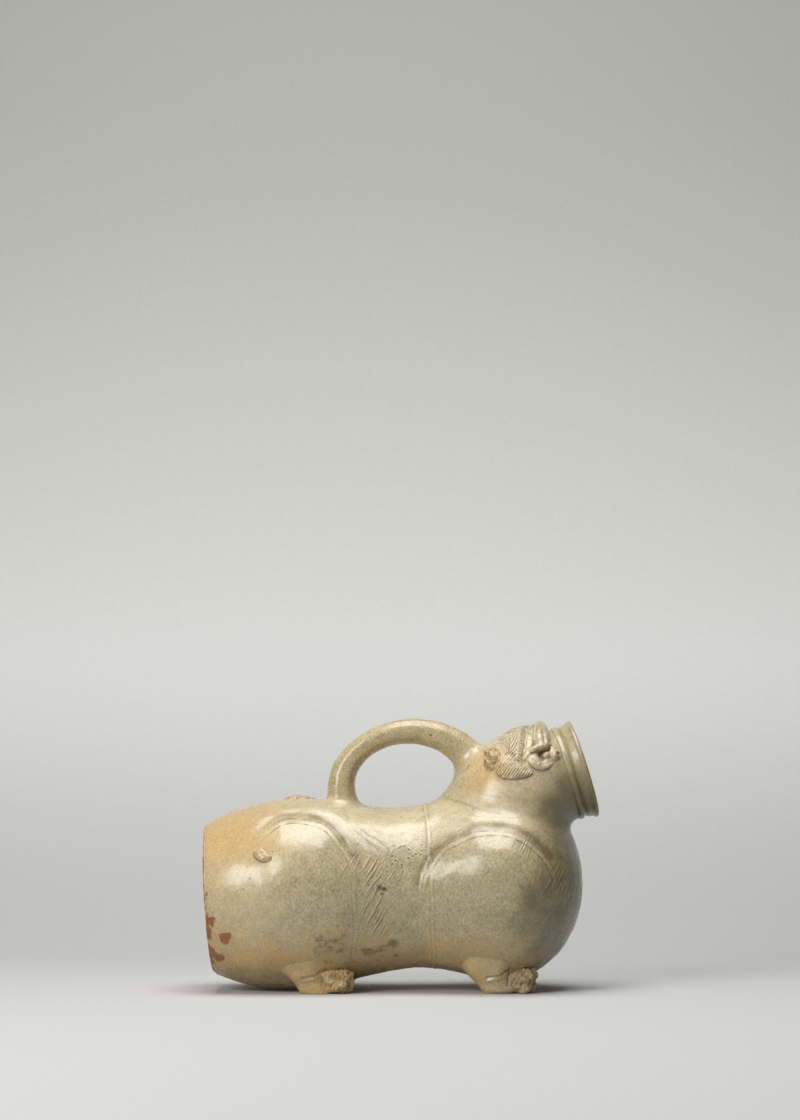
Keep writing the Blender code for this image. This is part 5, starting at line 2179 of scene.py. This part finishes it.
@dataclass
class Tail:
    """Strip of the tail on the back, and its broken tip on the right haunch."""

    body: ThrownBody
    root_from_haunch: float = 2.2 * MM
    root_length: float = 21.0 * MM
    root_width: float = 10.0 * MM
    root_rise: float = 1.8 * MM
    tip_from_haunch: float = -19.0 * MM
    tip_roll: float = math.radians(63.5)
    tip_path: Line = (mm(-4.4, 5.0), mm(-2.4, 1.2), mm(0.8, -1.8), mm(4.8, -3.8))
    tip_width: float = 8.0 * MM
    tip_rise: float = 3.4 * MM

    def broken(self, along: Grid, across: Grid) -> Grids:
        """Rough broken crest of the strip.

        Args:
            along: Lengths along the piece.
            across: Lengths across it.

        Returns:
            Height of the relief, and how much glaze pools in it.
        """
        where = as_points(along, across, 0.0)
        middle = ridge(across, 1.8 * MM)
        return 0.5 * CRUMBLE.at(where) * middle, np.clip(0.7 * middle, 0.0, 1.0)

    def build(self, finishes: Finishes) -> None:
        """Builds the strip and the tip.

        Args:
            finishes: The vessel's finishes.
        """
        place = (self.body.haunch + self.root_from_haunch, 0.0, 0.0)
        outline = leaf(self.root_length, self.root_width, 96)
        root = Pad(self.body, place, outline, self.root_rise, self.broken, rows=30, edge=0.1, bare=0.5)
        settle(root.sheet().mesh("tail_root"), "tail_strip", finishes.buff, "tail_root")
        place = (self.body.haunch + self.tip_from_haunch, self.tip_roll, 0.0)
        tip = Ribbon(self.body, place, self.tip_path, self.tip_width, self.tip_rise, (0.5, 0.6))
        settle(tip.sheet().mesh("tail_tip"), "tail_broken_tip", finishes.buff, "tail_tip")


@dataclass
class Legs:
    """Four short legs, each with a rough paw pressed on its front end."""

    body: ThrownBody
    rear_heel: float = -0.5 * MM
    front_heel: float = -15.0 * MM
    rear_spread: float = 31.0 * MM
    front_spread: float = 28.0 * MM
    foot_length: float = 20.6 * MM
    foot_height: float = 5.0 * MM
    foot_half_width: float = 9.0 * MM
    sole_edge: float = 1.0 * MM
    squareness: float = 2.6
    heel_back: float = 2.7 * MM
    hock_height: float = 13.0 * MM
    hock_back: float = 10.0 * MM
    hock_front: float = 17.0 * MM
    thigh_height: float = 21.0 * MM
    thigh_back: float = 11.5 * MM
    thigh_front: float = 20.0 * MM
    thigh_half_width: float = 12.0 * MM
    root_height: float = 36.0 * MM
    paw_length: float = 16.4 * MM
    paw_width: float = 18.6 * MM
    paw_height: float = 15.2 * MM
    paw_sink: float = 0.4 * MM
    paw_overlap: float = 3.4 * MM
    toe_groove: float = 0.9 * MM
    toe_crease: float = math.radians(11.0)
    toe_spacing: float = math.radians(36.0)
    paw_block: float = 0.78
    paw_tail: float = 1.9
    fold_places: tuple[float, ...] = (-3.4 * MM, -5.8 * MM, -8.0 * MM)
    fold_width: float = 0.55 * MM
    worm_spacing: float = 2.3 * MM
    grit: KilnGrit = KilnGrit(density=2.4e5, radius=0.3 * MM, seed=4)
    rims: FlankMark = MarkSet(
        Stroke((mm(3.0, 7.6), mm(11.5, 9.2), mm(23.0, 5.0)), 0.9 * MM),
        Stroke((mm(16.6, 6.0), mm(17.4, 15.0)), 0.6 * MM),
    )
    cuts: FlankMark = MarkSet(
        Stroke((mm(2.5, 9.6), mm(12.0, 11.4)), 0.7 * MM, 0.7),
        Stroke((mm(11.4, 11.6), mm(16.4, 15.4)), 0.55 * MM),
        Stroke((mm(15.0, 5.0), mm(16.0, 15.6)), 0.5 * MM),
        *(Stroke((mm(x, 6.6), mm(x + 1.6, 11.4)), 0.38 * MM, 0.5) for x in (9.6, 11.0, 12.4, 13.8)),
    )
    rim_height: float = 0.5 * MM
    cut_depth: float = 0.7 * MM
    side_fade: float = 3.0 * MM
    paw_crack: FlankMark = Stroke((mm(-0.5, 11.2), mm(4.2, 7.4)), 0.6 * MM)
    luting: float = 7.0 * MM
    luting_sink: float = 0.2 * MM
    rows: tuple[int, int] = (60, 24)
    columns: int = 192

    def leg_lines(self, heel: float, spread: float) -> Grid:
        """Grid of one plain leg, rows from the sole up into the belly.

        Args:
            heel: Where the heel stands.
            spread: Place to the left, below zero on the right.

        Returns:
            The grid.
        """
        hock_half = 0.5 * (self.foot_half_width + self.thigh_half_width)
        knots = [0.0, self.sole_edge, self.foot_height]
        knots += [self.hock_height, self.thigh_height, self.root_height]
        backs = [self.sole_edge, 0.0, -self.heel_back, -self.hock_back, -self.thigh_back, -self.thigh_back]
        fronts = [self.foot_length - self.sole_edge, self.foot_length, self.foot_length]
        fronts += [self.hock_front, self.thigh_front, self.thigh_front]
        halves = [self.foot_half_width - self.sole_edge, self.foot_half_width, self.foot_half_width]
        halves += [hock_half, self.thigh_half_width, self.thigh_half_width]
        sole = np.linspace(0.0, self.sole_edge, 8)[:-1]
        heights = np.concatenate([sole, np.linspace(self.sole_edge, self.root_height, 110)])
        back = flow(knots, backs, heights)[:, None]
        front = flow(knots, fronts, heights)[:, None]
        half = flow(knots, halves, heights)[:, None]
        outline = oval(2.0, 2.0, self.columns, self.squareness)
        x = heel + 0.5 * (front + back) + 0.5 * (front - back) * outline[None, :, 0]
        y = spread + half * outline[None, :, 1]
        return as_points(x, y, heights[:, None])

    def scored(self, x: Grid, z: Grid) -> Grids:
        """Marks of the tool on a leg's outer side.

        Args:
            x: Lengths ahead of the heel.
            z: Heights over the floor.

        Returns:
            Height of the marks and how much glaze pools in them: the rim of the foot's bar, the crease
            over it, the slit and the crack beside the paw, and the scored wedge between them.
        """
        cuts = self.cuts.at(x, z)
        return self.rim_height * self.rims.at(x, z) - self.cut_depth * cuts, np.clip(0.8 * cuts, 0.0, 1.0)

    def leg(self, heel: float, spread: float) -> Sheet:
        """One leg with a luted foot on the belly.

        Args:
            heel: Where the heel stands.
            spread: Place to the left, below zero on the right.

        Returns:
            The closed leg.
        """
        lines = self.leg_lines(heel, spread)
        outer = np.sign(spread)
        out = unit(lines - lines.mean(axis=1, keepdims=True)) * np.array([1.0, 1.0, 0.0])
        free = ease(lines[..., 2] / (2.0 * MM))
        shown = free * ease(outer * (lines[..., 1] - spread) / self.side_fade)
        marks, _ = self.scored(lines[..., 0] - heel, lines[..., 2])
        lines = lines + out * (2.0 * uneven(lines) * free + marks * shown)[..., None]
        points = luted(lines, self.body, np.full(self.columns, self.luting), self.rows, self.luting_sink)
        _, pooled = self.scored(points[..., 0] - heel, points[..., 2])
        return Sheet(points, {"groove": pooled * ease(outer * (points[..., 1] - spread) / self.side_fade)})

    def paw(self, middle_x: float, spread: float) -> Sheet:
        """One rough paw with creases between its toes.

        Args:
            middle_x: Where the paw's middle stands.
            spread: Place to the left, below zero on the right.

        Returns:
            The closed paw.
        """
        long = 0.5 * self.paw_length
        wide = 0.5 * self.paw_width
        high = 0.5 * (self.paw_height + self.paw_sink)
        middle = high - self.paw_sink
        first = -math.asin((middle / high) ** (1.0 / self.paw_block))
        rise = np.linspace(first, math.radians(87.0), 72)[:, None]
        turn = full_turn(self.columns)[None, :]
        facing = np.mod(turn + np.pi, 2.0 * np.pi) - np.pi
        gaps = (-self.toe_spacing, 0.0, self.toe_spacing)
        crease = sum(ridge(facing - gap, self.toe_crease) for gap in gaps)
        reach = np.cos(rise) ** self.paw_block * (1.0 - self.toe_groove / long * crease)
        x = long * reach * np.cos(turn) * np.where(np.cos(turn) < 0.0, self.paw_tail, 1.0)
        y = wide * reach * np.sin(turn)
        up = np.sign(rise) * np.abs(np.sin(rise)) ** self.paw_block
        z = np.broadcast_to(middle + high * up, x.shape)
        points = np.stack([x, y, z], axis=-1)
        out = unit(points - np.array([0.0, 0.0, middle]))
        place = points + np.array([middle_x, spread, 0.0])
        curl = LUMP.at(place[..., ::-1])
        worms = np.abs(np.sin(np.pi * (0.8 * z + 0.6 * x + 3.0 * curl) / self.worm_spacing))
        folds = sum(ridge(x - at - 0.25 * z + 2.0 * curl, self.fold_width) for at in self.fold_places)
        creased = np.clip(np.square(1.0 - worms) + 1.4 * folds, 0.0, 1.6)
        crack = self.paw_crack.at(x, z)
        rough = LUMP.at(place) + 0.6 * CRUMBLE.at(place) + GRAIN.at(place)
        raised = rough - MM * (0.4 * creased + 0.7 * crack)
        free = ease(z / (1.2 * MM))
        groove = np.clip(0.45 * creased + 0.6 * crack + 0.35 * crease - 0.25 * raised / MM, 0.0, 0.9)
        return Sheet(place + out * (raised * free)[..., None], {"groove": groove, "grit": free})

    def build(self, finishes: Finishes) -> None:
        """Builds the four legs and paws.

        Args:
            finishes: The vessel's finishes.
        """
        ends = (
            ("rear", self.body.haunch + self.rear_heel, self.rear_spread),
            ("front", self.body.chest + self.front_heel, self.front_spread),
        )
        for end, station, spread in ends:
            heel = float(self.body.placed(np.array(station), np.array(0.0), np.array(0.0))[0])
            toes = heel + self.foot_length - self.paw_overlap + 0.5 * self.paw_length
            for side in Side:
                name = f"{end}_{side.name.lower()}"
                leg = self.leg(heel, side.value * spread).mesh(f"{name}_leg")
                settle(leg, f"luted_{name}_leg", finishes.buff, f"{name}_leg")
                paw = self.paw(toes, side.value * spread).mesh(f"{name}_paw")
                settle(paw, f"rough_{name}_paw", finishes.gritty, f"{name}_paw")
                grains = self.grit.mesh(paw, finishes.gritty, f"{name}_paw_grit")
                settle(grains, f"{name}_paw_grit", finishes.gritty)


@dataclass(frozen=True)
class Lamp:
    """Soft rectangular lamp: its middle, its width and height, and its power in watts."""

    name: str
    place: Triple
    size: Pair
    power: float


@dataclass
class Studio:
    """Pale sweep, soft lamps and the camera at the photograph's angle."""

    lens: float = 77.14
    film: float = 36.0
    distance: float = 1.4736
    camera_x: float = -1.26 * MM
    camera_z: float = 103.0 * MM
    horizon: float = 822.0
    picture: Pair = (800.0, 1120.0)
    floor_grey: Triple = (0.62, 0.62, 0.605)
    wall_grey: Triple = (0.55, 0.55, 0.52)
    bounce: float = 0.65
    dim: float = 0.04
    pale: float = 0.5
    sweep_start: float = 0.32
    sweep_radius: float = 0.9
    sweep_reach: float = 3.0
    aim: Triple = (0.0, 0.0, 0.07)
    lamps: tuple[Lamp, ...] = (
        Lamp("key_softbox", (0.0, -0.22, 1.4), (0.8, 1.1), 17.5),
        Lamp("left_fill", (-0.9, -1.25, 0.8), (0.75, 0.75), 15.0),
    )

    def camera(self) -> None:
        """Level camera that looks along +Y, shifted so that the vessel stands low in the picture."""
        data = bpy.data.cameras.new("camera")
        data.lens = self.lens
        data.sensor_width = self.film
        data.shift_y = (self.horizon - 0.5 * self.picture[1]) / self.picture[1]
        camera = linked("camera", data)
        camera.location = (self.camera_x, -self.distance, self.camera_z)
        camera.rotation_euler = (0.5 * math.pi, 0.0, 0.0)
        bpy.context.scene.camera = camera

    def light(self, lamp: Lamp) -> None:
        """Sets up a lamp that faces the vessel.

        Args:
            lamp: The lamp.
        """
        data = bpy.data.lights.new(lamp.name, "AREA")
        data.shape = "RECTANGLE"
        data.size, data.size_y = lamp.size
        data.energy = lamp.power
        made = linked(lamp.name, data)
        made.location = lamp.place
        aim = Vector(self.aim) - Vector(lamp.place)
        made.rotation_euler = aim.to_track_quat("-Z", "Y").to_euler()

    def sweep_material(self) -> Material:
        """Pale paper that darkens up the wall.

        Returns:
            The material.
        """
        material = bpy.data.materials.new("paper_sweep")
        material.use_nodes = True
        wiring = Wiring(material.node_tree)
        where = wiring.add("ShaderNodeTexCoord").outputs["Object"]
        x, y, z = wiring.axes(where)
        fibre = wiring.noise(where, 0.004).spread(0.3, 0.7, 0.985, 1.015)
        colour = wiring.blend(z.spread(0.0, 0.5), (*self.floor_grey, 1.0), (*self.wall_grey, 1.0))
        colour = wiring.tint(wiring.tint(colour, fibre), y.spread(-0.75, 0.0, 0.95, 1.0))
        ray = wiring.add("ShaderNodeLightPath").outputs
        seen = wiring.highest(*(ray[f"Is {kind} Ray"] for kind in ("Camera", "Glossy", "Transmission")))
        glow = z.spread(0.0, 0.3, 0.02, 0.42) * seen * z.spread(0.3, 0.95, 1.0, 0.42)
        far = wiring.highest(abs(x), y * -1.0).spread(0.8, 2.4, 0.0, 0.75) * seen
        look = {
            "Base Color": wiring.tint(colour, seen.spread(0.0, 1.0, self.bounce, 1.0)),
            "Emission Color": wiring.tint(colour, wiring.highest(glow, far)),
            "Emission Strength": 1.0,
            "Roughness": 0.9,
            "Specular IOR Level": 0.1,
        }
        wiring.feed(material.node_tree.nodes["Principled BSDF"], look)
        return material

    def sweep(self) -> None:
        """Floor that curves up into a wall behind the vessel."""
        turn = quarter_turn(40)
        y = [np.linspace(-self.sweep_reach, self.sweep_start, 12)[:-1]]
        y.append(self.sweep_start + self.sweep_radius * np.sin(turn))
        z = [np.zeros(11), self.sweep_radius * (1.0 - np.cos(turn))]
        y.append(np.full(4, self.sweep_start + self.sweep_radius))
        z.append(np.linspace(self.sweep_radius, self.sweep_reach, 5)[1:])
        ys, zs = np.concatenate(y), np.concatenate(z)
        sides = (-self.sweep_reach, self.sweep_reach)
        points = [(x, float(y), float(z)) for y, z in zip(ys, zs) for x in sides]
        faces = [(2 * k, 2 * k + 1, 2 * k + 3, 2 * k + 2) for k in range(len(ys) - 1)]
        mesh = bpy.data.meshes.new("paper_sweep")
        mesh.from_pydata(points, [], faces)
        mesh.shade_smooth()
        mesh.materials.append(self.sweep_material())
        linked("paper_sweep", mesh)

    def world(self) -> None:
        """Dim even light from all round, pale only where it is looked at."""
        world = bpy.data.worlds.new("studio")
        world.use_nodes = True
        wiring = Wiring(world.node_tree)
        ray = Value(wiring.add("ShaderNodeLightPath").outputs["Is Camera Ray"])
        strength = ray.spread(0.0, 1.0, self.dim, self.pale)
        feeds = {"Color": (1.0, 0.995, 0.97, 1.0), "Strength": strength}
        wiring.feed(world.node_tree.nodes["Background"], feeds)
        bpy.context.scene.world = world

    def build(self) -> None:
        """Sets up the whole studio."""
        self.camera()
        self.sweep()
        self.world()
        for lamp in self.lamps:
            self.light(lamp)
        bpy.context.scene.view_settings.view_transform = "Standard"


def main() -> None:
    """Builds the studio and the vessel, piece by piece."""
    logging.basicConfig(level=logging.INFO, format="%(message)s")
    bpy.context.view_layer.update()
    Studio().build()
    finishes = Finishes.fired()
    body = ThrownBody()
    neck = BentNeck(body)
    face = Face(neck)
    body.base(finishes)
    body.barrel(finishes)
    body.bulb(finishes, neck)
    neck.tube(finishes, face.hollows)
    neck.rim(finishes)
    StrapHandle(body, neck).build(finishes)
    face.build(finishes)
    Tail(body).build(finishes)
    Legs(body).build(finishes)


if __name__ == "__main__":
    main()
